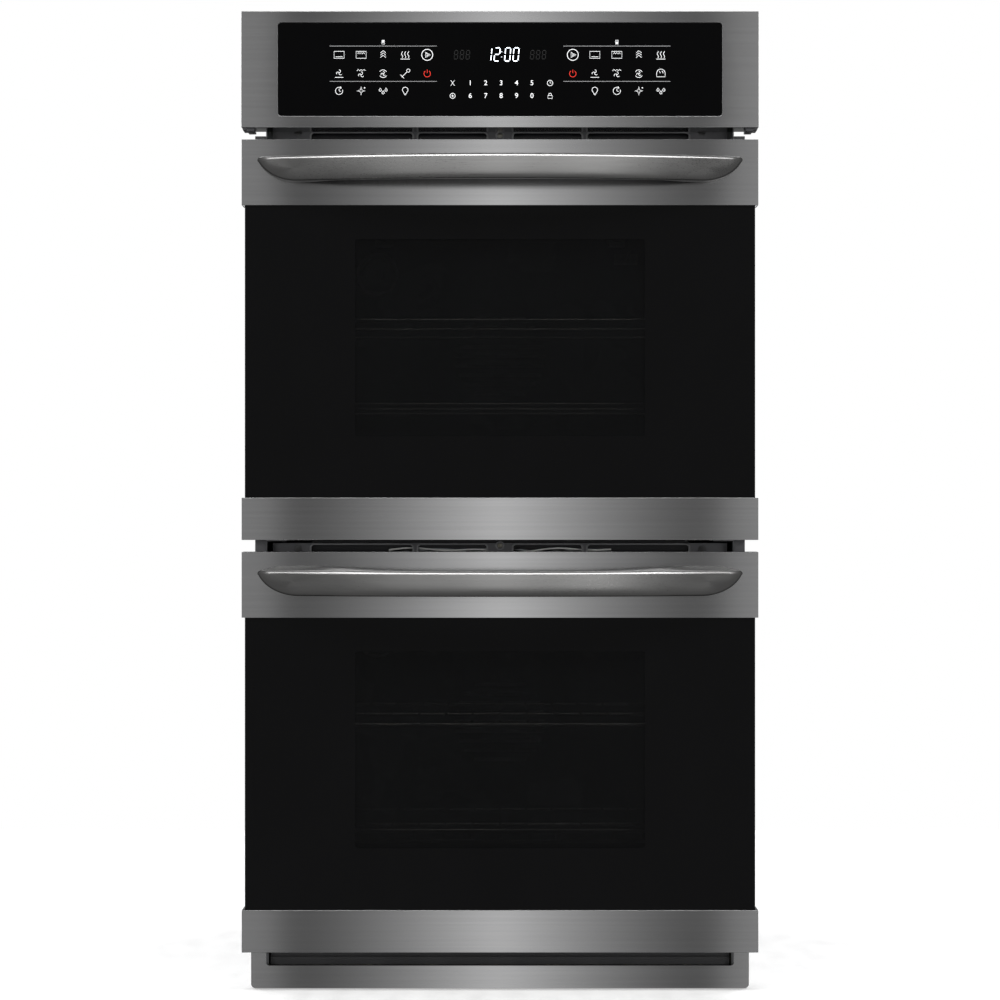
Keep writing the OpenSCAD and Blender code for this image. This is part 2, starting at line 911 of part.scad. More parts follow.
module side_trims() {
    low = door_base + 33;
    high = door_top(UPPER) + 10;
    inner = body_w / 2;
    mid = inner + side_trim_w / 2;
    color(dark_paint)
        both_sides()
            difference() {
                union() {
                    block([inner, face_y - trim_t, low], [inner + side_trim_w, face_y, high]);
                    block([inner, face_y - trim_t / 2, low], [inner + 1.2, face_y + 20, high]);
                }
                for (n = [0:2])
                    rod_y(mount_hole_r, mid, face_y - trim_t - past, face_y + past,
                          mount_hole_z + n * mount_hole_span / 2);
            }
}

module bottom_trim() {
    inner = body_w / 2;
    outer = inner + bottom_leg_w;
    slot_low = 2.3;
    high = door_base + 33;
    corner = 6;
    color(black_steel) {
        difference() {
            along_y(face_y - trim_t, trim_t)
                translate([0, (high - bottom_drop) / 2])
                    polygon(round_points(2 * outer, high + bottom_drop, corner));
            along_y(face_y - trim_t - past, trim_t + 2 * past)
                translate([0, slot_low + high / 2])
                    polygon(round_points(2 * inner, high, 5));
            both_sides()
                rod_y(screw_hole_r, inner + bottom_leg_w / 2, face_y - trim_t - past, face_y + past, high - 12);
        }
    }
}

// Pan-head screw that enters towards the back, with its head on the plane y
module screw(x, y, z) {
    rod_y(screw_head_r, x, y - screw_head_h, y, z);
    rod_y(screw_r, x, y - screw_head_h / 2, y + screw_l, z);
}

module fixing_screws() {
    leg_x = body_w / 2 + bottom_leg_w / 2;
    color("dimgray")
        both_sides() {
            for (i = [LOWER, UPPER])
                screw(vent_screw_x, vent_y, door_top(i) + vent_screw_rise[i]);
            screw(leg_x, face_y - trim_t, door_base + 21);
        }
}

// ---------- Hinges ----------

module hinge_receivers() {
    half_w = 11;
    half_h = 18;
    depth = arm_in + 5;
    color(galvanised)
        for (i = [LOWER, UPPER])
            both_sides()
                difference() {
                    block([hinge_x - half_w, face_y, pivot_z(i) - half_h],
                          [inner_w / 2, face_y + depth, pivot_z(i) + half_h]);
                    block([hinge_x - arm_t / 2 - 1, face_y - past, pivot_z(i) - arm_h / 2],
                          [hinge_x + arm_t / 2 + 1, face_y + depth + past, pivot_z(i) + arm_h / 2 + 1]);
                }
}

module hinge_arms() {
    color("silver")
        for (i = [LOWER, UPPER])
            both_sides()
                difference() {
                    union() {
                        rod_x(arm_eye_r, hinge_x - arm_t / 2, hinge_x + arm_t / 2, pivot_y, pivot_z(i));
                        block([hinge_x - arm_t / 2, pivot_y, pivot_z(i) - arm_h / 2],
                              [hinge_x + arm_t / 2, face_y + arm_in, pivot_z(i) + arm_h / 2]);
                    }
                    rod_x(hinge_pin_r + running_gap, hinge_x - arm_t / 2 - past, hinge_x + arm_t / 2 + past,
                          pivot_y, pivot_z(i));
                }
}

// Channel and pin inside the door, one on each side
module door_hinges(i) {
    wall_x = channel_w / 2 + channel_t;
    front = pivot_y - arm_eye_r - 3;
    back = door_rear_y - liner_t - 1;
    low = door_z(i) + liner_foot + liner_t + 1;
    color("silver")
        both_sides()
            union() {
                difference() {
                    block([hinge_x - wall_x, front, low], [hinge_x + wall_x, back, low + channel_h]);
                    block([hinge_x - channel_w / 2, front + channel_t, low - past],
                          [hinge_x + channel_w / 2, back + past, low + channel_h + past]);
                }
                rod_x(hinge_pin_r, hinge_x - wall_x, hinge_x + wall_x, pivot_y, pivot_z(i));
            }
}

// ---------- Latches and door switches ----------

module latch_units() {
    plate_t = 1.5;
    color("silver")
        for (i = [LOWER, UPPER]) {
            z = latch_z(i);
            plate_z = z - hook_t / 2 - 3;
            difference() {
                union() {
                    block([latch_x - 50, face_y + sheet, plate_z],
                          [switch_x + 16, face_y + 70, plate_z + plate_t]);
                    rod_z(latch_pin_r, latch_x, latch_y, plate_z + plate_t / 2, z + hook_t / 2 + 2);
                    block([latch_x - 48, face_y + 20, plate_z + plate_t / 2],
                          [latch_x - 12, face_y + 60, z + 22]);
                    block([switch_x - 10, face_y + sheet, plate_z + plate_t / 2],
                          [switch_x + 10, face_y + sheet + switch_d, z + 9]);
                }
                rod_y(plunger_r + running_gap, switch_x, face_y, face_y + sheet + switch_d - 2,
                      z + switch_lift);
            }
        }
}

// Flat claw that swings out of the front frame into the door
module latch_hook(i) {
    reach = 200;
    color("gray")
        translate([latch_x, latch_y, latch_z(i) - hook_t / 2])
            linear_extrude(hook_t)
                difference() {
                    union() {
                        intersection() {
                            difference() {
                                circle(latch_r + hook_w / 2);
                                circle(latch_r - hook_w / 2);
                            }
                            polygon([[0, 0], reach * [cos(-20), sin(-20)], reach * [1, 0.2],
                                     reach * [cos(50), sin(50)]]);
                        }
                        polygon([[5, -5], [latch_r - 2, 2], [latch_r - 4, 14], [0, 7]]);
                        circle(latch_pin_r + 5);
                    }
                    circle(latch_pin_r + running_gap);
                }
}

module upper_latch_hook() {
    latch_hook(UPPER);
}

module lower_latch_hook() {
    latch_hook(LOWER);
}

module switch_plunger(i) {
    color("white")
        rod_y(plunger_r, switch_x, door_rear_y + 0.3, face_y + sheet + switch_d - 6,
              latch_z(i) + switch_lift);
}

module upper_switch_plunger() {
    switch_plunger(UPPER);
}

module lower_switch_plunger() {
    switch_plunger(LOWER);
}

// ---------- Doors ----------

// Folded steel band across the front of a door; wall_low and wall_high are its closed edge
module band(low, high, closed_top) {
    half = door_w / 2;
    back = door_rear_y - band_set;
    lip = band_proud - band_t - 0.2;
    difference() {
        block([-half, door_front_y, low], [half, back, high]);
        block([-half + band_t, door_front_y + band_t, closed_top ? low - past : low + band_t],
              [half - band_t, back + past, closed_top ? high - band_t : high + past]);
    }
    block([-half + band_t / 2, door_front_y + band_t / 2, closed_top ? low : high - band_t],
          [half - band_t / 2, door_front_y + band_t + lip, closed_top ? low + band_t : high]);
}

module top_band(i) {
    color(black_steel)
        difference() {
            band(door_top(i) - top_band_h, door_top(i), true);
            for (x = [-220:110:220])
                level_slot(x, door_front_y + 22, 80, 6, door_top(i) - band_t - past, band_t + 2 * past);
        }
}

module bottom_band(i) {
    color(black_steel)
        difference() {
            band(door_z(i), door_z(i) + bottom_band_h, false);
            both_sides()
                block([hinge_x - arm_slot_w / 2, pivot_y - arm_eye_r - 2, door_z(i) - past],
                      [hinge_x + arm_slot_w / 2, door_rear_y + past, door_z(i) + band_t + past]);
        }
}

module door_glass(i) {
    margin = 8;
    half = door_w / 2 - band_over;
    front = door_front_y + band_proud;
    color(black_glass)
        block([-half, front, door_z(i) + margin], [half, front + glass_t, door_top(i) - margin]);
}

// Bowed bar on two posts
module door_handle(i) {
    length = door_w - 2 * handle_inset;
    half = length / 2;
    sweep_r = (half * half + handle_bow * handle_bow) / (2 * handle_bow);
    sweep = asin(half / sweep_r);
    crest_y = door_front_y - handle_reach + handle_d / 2;
    post_x = half - post_inset;
    post_y = crest_y + sweep_r - sqrt(sweep_r * sweep_r - post_x * post_x);
    edge_r = handle_d / 2 - 0.01;
    color(handle_steel)
        translate([0, 0, door_top(i) - handle_drop]) {
            translate([0, crest_y + sweep_r, 0])
                rotate([0, 0, -90 - sweep])
                    rotate_extrude(angle = 2 * sweep, $fn = 720)
                        translate([sweep_r, 0])
                            polygon(round_points(handle_d, handle_h, edge_r, 4));
            both_sides()
                rod_y(post_r, post_x, post_y, door_front_y, 0);
        }
}

// Enamelled pan that closes the door's inner side
module door_liner(i) {
    low = door_z(i) + liner_foot;
    high = door_top(i) - liner_head;
    half = liner_w / 2;
    front = door_rear_y - liner_d;
    color(enamel)
        difference() {
            block([-half, front, low], [half, door_rear_y, high]);
            block([-half + liner_t, front - past, low + liner_t],
                  [half - liner_t, door_rear_y - liner_t, high - liner_t]);
            along_y(door_rear_y - liner_t - past, liner_t + 2 * past)
                translate([0, window_mid(i)])
                    polygon(round_points(window_w + 2 * window_margin, window_h + 2 * window_margin, 12));
            both_sides()
                block([hinge_x - arm_slot_w / 2, front - past, low - past],
                      [hinge_x + arm_slot_w / 2, door_rear_y + past, pivot_z(i) + arm_eye_r + 2]);
            block([latch_x + 6, door_rear_y - liner_t - past, latch_z(i) - hook_t - 2],
                  [latch_x + latch_r + 4, door_rear_y + past, latch_z(i) + hook_t + 2]);
        }
}

// Two inner panes, one against the pan and one nearer the front
module door_panes(i) {
    w = window_w + 2 * (window_margin + pane_lap);
    h = window_h + 2 * (window_margin + pane_lap);
    rear = door_rear_y - liner_t - pane_t;
    gap = 9;
    color([0.2, 0.24, 0.24, 0.5])
        for (y = [rear, rear - gap - pane_t])
            along_y(y, pane_t)
                translate([0, window_mid(i)])
                    polygon(round_points(w, h, 8));
}

module upper_door_top_band() {
    top_band(UPPER);
}

module upper_door_glass() {
    door_glass(UPPER);
}

module upper_door_bottom_band() {
    bottom_band(UPPER);
}

module upper_door_handle() {
    door_handle(UPPER);
}

module upper_door_liner() {
    door_liner(UPPER);
}

module upper_door_panes() {
    door_panes(UPPER);
}

module upper_door_hinges() {
    door_hinges(UPPER);
}

module lower_door_top_band() {
    top_band(LOWER);
}

module lower_door_glass() {
    door_glass(LOWER);
}

module lower_door_bottom_band() {
    bottom_band(LOWER);
}

module lower_door_handle() {
    door_handle(LOWER);
}

module lower_door_liner() {
    door_liner(LOWER);
}

module lower_door_panes() {
    door_panes(LOWER);
}

module lower_door_hinges() {
    door_hinges(LOWER);
}

base_pan();
left_side_panel();
right_side_panel();
back_panel();
top_cover();
mid_duct();
upper_vent_panel();
middle_vent_panel();
upper_cavity();
lower_cavity();
insulation_blankets();
door_gaskets();
broil_elements();
bake_elements();
ring_elements();
fan_covers();
fan_motors();
lamp_holders();
lamp_lenses();
temperature_probes();
blower_housing();
blower_motor();
control_frame();
control_glass();
control_housing();
control_board();
display_module();
side_trims();
bottom_trim();
fixing_screws();
hinge_receivers();
hinge_arms();
latch_units();
terminal_block();
conduit_gland();
upper_fan_wheel();
lower_fan_wheel();
blower_wheel();
upper_rack_high();
upper_rack_low();
lower_rack_high();
lower_rack_low();
upper_latch_hook();
lower_latch_hook();
upper_switch_plunger();
lower_switch_plunger();
upper_door_top_band();
upper_door_glass();
upper_door_bottom_band();
upper_door_handle();
upper_door_liner();
upper_door_panes();
upper_door_hinges();
lower_door_top_band();
lower_door_glass();
lower_door_bottom_band();
lower_door_handle();
lower_door_liner();
lower_door_panes();
lower_door_hinges();
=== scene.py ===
"""Looks of a built-in double wall oven: its finishes, its fine pieces, the light and the camera.

Lengths are in metres. X runs across the oven, -Y is its front and +Z is up.
"""

import json
import logging
import math
from dataclasses import dataclass
from enum import Enum

import bmesh
import bpy
from mathutils import Matrix, Vector


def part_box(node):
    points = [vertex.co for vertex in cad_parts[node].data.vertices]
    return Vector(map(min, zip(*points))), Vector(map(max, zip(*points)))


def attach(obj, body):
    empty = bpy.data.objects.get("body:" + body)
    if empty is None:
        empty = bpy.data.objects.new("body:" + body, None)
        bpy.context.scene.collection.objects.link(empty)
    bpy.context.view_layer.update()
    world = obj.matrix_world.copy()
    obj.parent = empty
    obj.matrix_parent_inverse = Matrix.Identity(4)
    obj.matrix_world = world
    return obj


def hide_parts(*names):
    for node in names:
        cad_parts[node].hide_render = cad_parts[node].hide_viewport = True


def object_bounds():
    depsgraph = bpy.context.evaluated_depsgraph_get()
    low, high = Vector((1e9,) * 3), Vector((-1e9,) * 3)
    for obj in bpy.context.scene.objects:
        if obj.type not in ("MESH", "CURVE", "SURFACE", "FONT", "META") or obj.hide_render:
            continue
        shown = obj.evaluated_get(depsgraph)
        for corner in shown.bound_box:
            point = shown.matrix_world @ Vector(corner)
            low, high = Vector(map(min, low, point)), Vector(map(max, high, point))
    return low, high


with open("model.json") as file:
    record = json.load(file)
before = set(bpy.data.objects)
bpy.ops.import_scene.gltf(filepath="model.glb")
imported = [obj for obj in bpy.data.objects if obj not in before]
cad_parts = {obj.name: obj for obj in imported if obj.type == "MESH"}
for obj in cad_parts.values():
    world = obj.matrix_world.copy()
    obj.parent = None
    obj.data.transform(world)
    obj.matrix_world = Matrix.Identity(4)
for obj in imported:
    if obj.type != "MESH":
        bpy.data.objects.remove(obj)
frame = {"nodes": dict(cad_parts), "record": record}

CAD_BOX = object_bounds()
LOG = logging.getLogger("wall_oven")
MM = 0.001
CHASSIS = "chassis"

Colour = tuple[float, float, float]
Flat = tuple[float, float]
Place = tuple[float, float, float] | Vector
Strokes = list[tuple[list[Flat], float]]
Socket = bpy.types.NodeSocket


class Level(Enum):
    """The two ovens, one above the other."""

    UPPER = "upper"
    LOWER = "lower"


# ---------- Shaders ----------


class Shader:
    """A node material while it is being wired."""

    def __init__(self, name: str) -> None:
        """Starts a material with a Principled surface.

        Args:
            name: Name of the material.
        """
        self.material = bpy.data.materials.new(name)
        self.material.use_nodes = True
        self.nodes = self.material.node_tree.nodes
        self.links = self.material.node_tree.links
        self.surface = self.nodes["Principled BSDF"]

    def feed(self, socket: Socket, value: object) -> None:
        """Links a socket to value, or sets it where value is a plain number or colour."""
        if isinstance(value, Socket):
            self.links.new(value, socket)
        else:
            socket.default_value = value

    def node(self, kind: str, options: dict | None = None, **sockets: object) -> bpy.types.Node:
        """Adds a node.

        Args:
            kind: Type of the node, without its ShaderNode prefix.
            options: Settings of the node itself.
            **sockets: Inputs by name, with _ for a space.

        Returns:
            The new node.
        """
        made = self.nodes.new("ShaderNode" + kind)
        for key, value in (options or {}).items():
            setattr(made, key, value)
        for key, value in sockets.items():
            self.feed(made.inputs[key.replace("_", " ")], value)
        return made

    def place(self, scale: tuple[float, float, float], turn: float = 0.0) -> Socket:
        """Coordinates fixed to the piece.

        Args:
            scale: Repeats for each metre along X, Y and Z.
            turn: Turn about Y, in degrees.

        Returns:
            The scaled coordinates.
        """
        source = self.node("TexCoord").outputs["Object"]
        turned = (0.0, math.radians(turn), 0.0)
        return self.node("Mapping", None, Vector=source, Scale=scale, Rotation=turned).outputs["Vector"]

    def noise(self, scale: tuple[float, float, float], detail: float = 4.0) -> Socket:
        """Cloudy value from 0 to 1, stretched as scale says."""
        return self.node("TexNoise", None, Vector=self.place(scale), Scale=1.0, Detail=detail).outputs["Fac"]

    def cells(self, scale: float) -> bpy.types.Node:
        """Cell pattern with that many cells for each metre."""
        return self.node("TexVoronoi", None, Vector=self.place((scale,) * 3), Scale=1.0)

    def span(self, value: Socket, low: float, high: float, start: float = 0.3, end: float = 0.7) -> Socket:
        """Maps a value onto another range.

        Args:
            value: The value to map.
            low: Result at start.
            high: Result at end.
            start: Where the range of value begins.
            end: Where the range of value ends.

        Returns:
            The mapped value.
        """
        sockets = {"From Min": start, "From Max": end, "To Min": low, "To Max": high}
        made = self.node("MapRange", None, Value=value)
        for key, number in sockets.items():
            made.inputs[key].default_value = number
        return made.outputs["Result"]

    def mix(self, factor: Socket | float, first: Colour, second: Colour) -> Socket:
        """Blends two colours.

        Args:
            factor: Share of the second colour.
            first: Colour at 0.
            second: Colour at 1.

        Returns:
            The blended colour.
        """
        made = self.node("Mix", {"data_type": "RGBA"})
        self.feed(made.inputs[0], factor)
        made.inputs[6].default_value = (*first, 1.0)
        made.inputs[7].default_value = (*second, 1.0)
        return made.outputs[2]

    def times(self, first: Socket, second: Socket) -> Socket:
        """Multiplies two values.

        Args:
            first: One value.
            second: The other.

        Returns:
            Their product.
        """
        made = self.node("Math", {"operation": "MULTIPLY"})
        self.links.new(first, made.inputs[0])
        self.links.new(second, made.inputs[1])
        return made.outputs[0]

    def bump(self, height: Socket, depth: float, strength: float = 1.0,
             under: Socket | None = None) -> Socket:
        """Surface relief.

        Args:
            height: Relief from 0 to 1.
            depth: Its depth in metres.
            strength: How strongly it shows.
            under: Relief that it lies on.

        Returns:
            The new normal.
        """
        made = self.node("Bump", None, Height=height, Distance=depth, Strength=strength)
        if under is not None:
            self.links.new(under, made.inputs["Normal"])
        return made.outputs["Normal"]

    def finish(self, **sockets: object) -> bpy.types.Material:
        """Sets the surface's inputs and returns the material."""
        for key, value in sockets.items():
            self.feed(self.surface.inputs[key.replace("_", " ")], value)
        return self.material


def shade(colour: Colour, factor: float) -> Colour:
    """A colour made lighter or darker."""
    return tuple(min(1.0, channel * factor) for channel in colour)


@dataclass(frozen=True)
class Finish:
    """What a surface is made of."""

    name: str
    colour: Colour = (0.5, 0.5, 0.5)

    def build(self) -> bpy.types.Material:
        """Wires the material."""
        raise NotImplementedError


@dataclass(frozen=True)
class BrushedSteel(Finish):
    """Stainless steel with a fine grain from side to side."""

    roughness: float = 0.12
    anisotropy: float = 0.9
    grain: float = 1.0

    def build(self) -> bpy.types.Material:
        """Wires the grain, the cloudier streaks and the faint smears of use.

        Returns:
            The material.
        """
        s = Shader(self.name)
        hairline = s.noise((7.0, 1500.0, 2300.0), 3.0)
        streak = s.noise((2.2, 180.0, 260.0), 5.0)
        smear = s.noise((3.0, 3.0, 4.5), 3.0)
        rough = s.span(hairline, self.roughness * 0.88, self.roughness * 1.15)
        rough = s.times(rough, s.span(smear, 0.95, 1.08, 0.35, 0.7))
        tone = s.span(streak, 0.0, 1.0, 0.25, 0.75)
        colour = s.mix(tone, shade(self.colour, 0.95), shade(self.colour, 1.05))
        relief = s.bump(hairline, 0.01 * MM * self.grain, 0.3)
        relief = s.bump(streak, 0.012 * MM * self.grain, 0.25, relief)
        tangent = s.node("Tangent", {"direction_type": "RADIAL", "axis": "X"}).outputs["Tangent"]
        return s.finish(Base_Color=colour, Metallic=1.0, Roughness=rough, Anisotropic=self.anisotropy,
                        Tangent=tangent, Normal=relief)


@dataclass(frozen=True)
class EdgeHighlight(Finish):
    """Edge of a steel sheet coloured brighter than its face: a painted highlight along the rounded edge."""

    roughness: float = 0.3

    def build(self) -> bpy.types.Material:
        """Wires the painted edge highlight, made uneven by short rubs, and nicks along the edge.

        Returns:
            The material.
        """
        s = Shader(self.name)
        rub = s.noise((60.0, 300.0, 60.0), 6.0)
        nick = s.noise((700.0, 700.0, 700.0), 2.0)
        # Brighter than the sheet it edges: a painted highlight, varied by the rubs.
        colour = s.mix(s.span(rub, 0.0, 1.0), shade(self.colour, 0.8), shade(self.colour, 1.25))
        return s.finish(Base_Color=colour, Metallic=1.0,
                        Roughness=s.span(rub, self.roughness, self.roughness + 0.15),
                        Normal=s.bump(nick, 0.03 * MM, 0.3))


@dataclass(frozen=True)
class Metal(Finish):
    """Plain rolled, cast or plated metal."""

    roughness: float = 0.35
    mottle: float = 0.15
    grain: float = 500.0
    tarnish: Colour | None = None

    def build(self) -> bpy.types.Material:
        """Wires the mottling, fine scratches and the dulled patches.

        Returns:
            The material.
        """
        s = Shader(self.name)
        cloud = s.noise((45.0, 45.0, 45.0), 5.0)
        fine = s.noise((self.grain, self.grain * 0.35, self.grain), 3.0)
        dull = self.tarnish or shade(self.colour, 1.0 - self.mottle)
        colour = s.mix(s.span(cloud, 0.0, 1.0), shade(self.colour, 1.0 + self.mottle * 0.5), dull)
        rough = s.times(s.span(cloud, self.roughness * 0.9, self.roughness * 1.25), s.span(fine, 0.93, 1.07))
        return s.finish(Base_Color=colour, Metallic=1.0, Roughness=rough, Normal=s.bump(fine, 0.03 * MM, 0.3))


@dataclass(frozen=True)
class Galvanised(Finish):
    """Zinc-coated sheet with its spangle."""

    def build(self) -> bpy.types.Material:
        """Wires flat crystals that differ in tone and gloss, under faint handling marks.

        Returns:
            The material.
        """
        s = Shader(self.name)
        crystal = s.node("RGBToBW", None, Color=s.cells(140.0).outputs["Color"]).outputs["Val"]
        fine = s.noise((420.0, 420.0, 420.0), 4.0)
        cloud = s.noise((6.0, 6.0, 6.0), 5.0)
        colour = s.mix(crystal, shade(self.colour, 0.86), shade(self.colour, 1.1))
        rough = s.times(s.span(crystal, 0.34, 0.46, 0.0, 1.0), s.span(cloud, 0.9, 1.2))
        return s.finish(Base_Color=colour, Metallic=1.0, Roughness=rough,
                        Normal=s.bump(fine, 0.02 * MM, 0.35, s.bump(crystal, 0.02 * MM, 0.2)))


@dataclass(frozen=True)
class Paint(Finish):
    """Satin paint on steel."""

    roughness: float = 0.42
    peel: float = 600.0

    def build(self) -> bpy.types.Material:
        """Wires the fine peel of the coat, dust and light scuffs.

        Returns:
            The material.
        """
        s = Shader(self.name)
        peel = s.noise((self.peel,) * 3, 3.0)
        scuff = s.noise((24.0, 90.0, 24.0), 7.0)
        colour = s.mix(s.span(scuff, 0.0, 1.0, 0.5, 0.8), self.colour, shade(self.colour, 1.35))
        return s.finish(Base_Color=colour, Roughness=s.span(scuff, self.roughness, self.roughness + 0.12),
                        Normal=s.bump(peel, 0.05 * MM, 0.35))


@dataclass(frozen=True)
class Enamel(Finish):
    """Fired porcelain enamel with fine pale flecks."""

    fleck: Colour = (0.42, 0.45, 0.52)

    def build(self) -> bpy.types.Material:
        """Wires the flecks, the orange peel of the glaze and a little baked-on haze.

        Returns:
            The material.
        """
        s = Shader(self.name)
        dots = s.span(s.cells(620.0).outputs["Distance"], 1.0, 0.0, 0.14, 0.24)
        some = s.span(s.noise((330.0, 330.0, 330.0), 2.0), 0.0, 1.0, 0.52, 0.6)
        haze = s.noise((9.0, 9.0, 9.0), 5.0)
        peel = s.noise((260.0, 260.0, 260.0), 2.0)
        colour = s.mix(s.times(dots, some), self.colour, self.fleck)
        return s.finish(Base_Color=colour, Roughness=s.span(haze, 0.16, 0.34),
                        Normal=s.bump(peel, 0.06 * MM, 0.4),
                        Coat_Weight=0.3, Coat_Roughness=0.08)


@dataclass(frozen=True)
class Glazing(Finish):
    """Glass; what is lower than 1 in cover lets light through."""

    cover: float = 1.0
    gloss: float = 0.5
    roughness: float = 0.03

    def build(self) -> bpy.types.Material:
        """Wires the slight roll of tempered glass and the faint film of handling on it.

        Returns:
            The material.
        """
        s = Shader(self.name)
        roll = s.noise((5.0, 5.0, 7.0), 1.0)
        film = s.noise((16.0, 16.0, 9.0), 6.0)
        colour = s.mix(s.span(film, 0.0, 1.0, 0.4, 0.8), self.colour, shade(self.colour, 1.4))
        rough = s.span(film, self.roughness, self.roughness + 0.05, 0.45, 0.8)
        s.material.surface_render_method = "BLENDED" if self.cover < 1.0 else "DITHERED"
        return s.finish(Base_Color=colour, Roughness=rough, IOR=1.5, Specular_IOR_Level=self.gloss,
                        Alpha=self.cover, Normal=s.bump(roll, 0.25 * MM, 0.06))


@dataclass(frozen=True)
class Moulded(Finish):
    """Moulded plastic or fired ceramic."""

    roughness: float = 0.45
    texture: float = 700.0

    def build(self) -> bpy.types.Material:
        """Wires the texture of the mould and the uneven gloss of its flow.

        Returns:
            The material.
        """
        s = Shader(self.name)
        pebble = s.noise((self.texture,) * 3, 3.0)
        flow = s.noise((30.0, 12.0, 30.0), 4.0)
        colour = s.mix(s.span(flow, 0.0, 1.0), shade(self.colour, 0.92), shade(self.colour, 1.08))
        return s.finish(Base_Color=colour,
                        Roughness=s.span(flow, self.roughness * 0.85, self.roughness * 1.2),
                        Normal=s.bump(pebble, 0.05 * MM, 0.4))


@dataclass(frozen=True)
class Wool(Finish):
    """Matted glass wool."""

    def build(self) -> bpy.types.Material:
        """Wires long matted fibres over soft tufts.

        Returns:
            The material.
        """
        s = Shader(self.name)
        fibre = s.noise((900.0, 160.0, 500.0), 6.0)
        tuft = s.noise((70.0, 70.0, 70.0), 4.0)
        colour = s.mix(s.span(fibre, 0.0, 1.0), shade(self.colour, 0.6), shade(self.colour, 1.1))
        return s.finish(Base_Color=colour, Roughness=0.95, Sheen_Weight=0.4,
                        Normal=s.bump(fibre, 0.6 * MM, 0.7, s.bump(tuft, 2.0 * MM, 0.6)))


@dataclass(frozen=True)
class Rope(Finish):
    """Woven rope of glass fibre."""

    def build(self) -> bpy.types.Material:
        """Wires two sets of slanting strands that cross.

        Returns:
            The material.
        """
        s = Shader(self.name)
        strands = [
            s.node("TexWave", None, Vector=s.place((1.0, 1.0, 1.0), turn), Scale=95.0).outputs["Fac"]
            for turn in (45.0, -45.0)
        ]
        weave = s.times(*strands)
        fuzz = s.noise((1200.0, 1200.0, 1200.0), 3.0)
        # Lighter on the strands and darker between them, following the weave's relief: painted shade in the
        # gaps.
        colour = s.mix(s.span(weave, 0.0, 1.0, 0.0, 0.8), shade(self.colour, 0.45), shade(self.colour, 1.4))
        return s.finish(Base_Color=colour, Roughness=0.9, Sheen_Weight=0.3,
                        Normal=s.bump(fuzz, 0.2 * MM, 0.4, s.bump(weave, 0.8 * MM, 0.9)))


@dataclass(frozen=True)
class Board(Finish):
    """Laminate with copper tracks under its green mask."""

    def build(self) -> bpy.types.Material:
        """Wires the tracks and the weave of the laminate.

        Returns:
            The material.
        """
        s = Shader(self.name)
        tracks = s.node("TexBrick", None, Vector=s.place((120.0, 1.0, 120.0)), Scale=1.0, Mortar_Size=0.08)
        weave = s.noise((900.0, 900.0, 900.0), 2.0)
        line = s.node("RGBToBW", None, Color=tracks.outputs["Color"]).outputs["Val"]
        colour = s.mix(s.span(line, 0.0, 1.0, 0.1, 0.6), shade(self.colour, 2.2), self.colour)
        return s.finish(Base_Color=colour, Roughness=s.span(weave, 0.25, 0.4),
                        Normal=s.bump(line, 0.04 * MM, 0.5))


@dataclass(frozen=True)
class Print(Finish):
    """Ink fired onto glass. A glow above 0 is painted light on the printed marks, and the display's own light
    on its lit segments.
    """

    glow: float = 0.0

    def build(self) -> bpy.types.Material:
        """Wires the slightly uneven layer of ink.

        Returns:
            The material.
        """
        s = Shader(self.name)
        layer = s.noise((900.0, 900.0, 900.0), 3.0)
        colour = s.mix(s.span(layer, 0.0, 1.0), shade(self.colour, 0.88), self.colour)
        return s.finish(Base_Color=colour, Roughness=s.span(layer, 0.4, 0.6),
                        Emission_Color=(*self.colour, 1.0),
                        Emission_Strength=self.glow, Normal=s.bump(layer, 0.01 * MM, 0.3))


DARK_STEEL = (0.30, 0.30, 0.302)
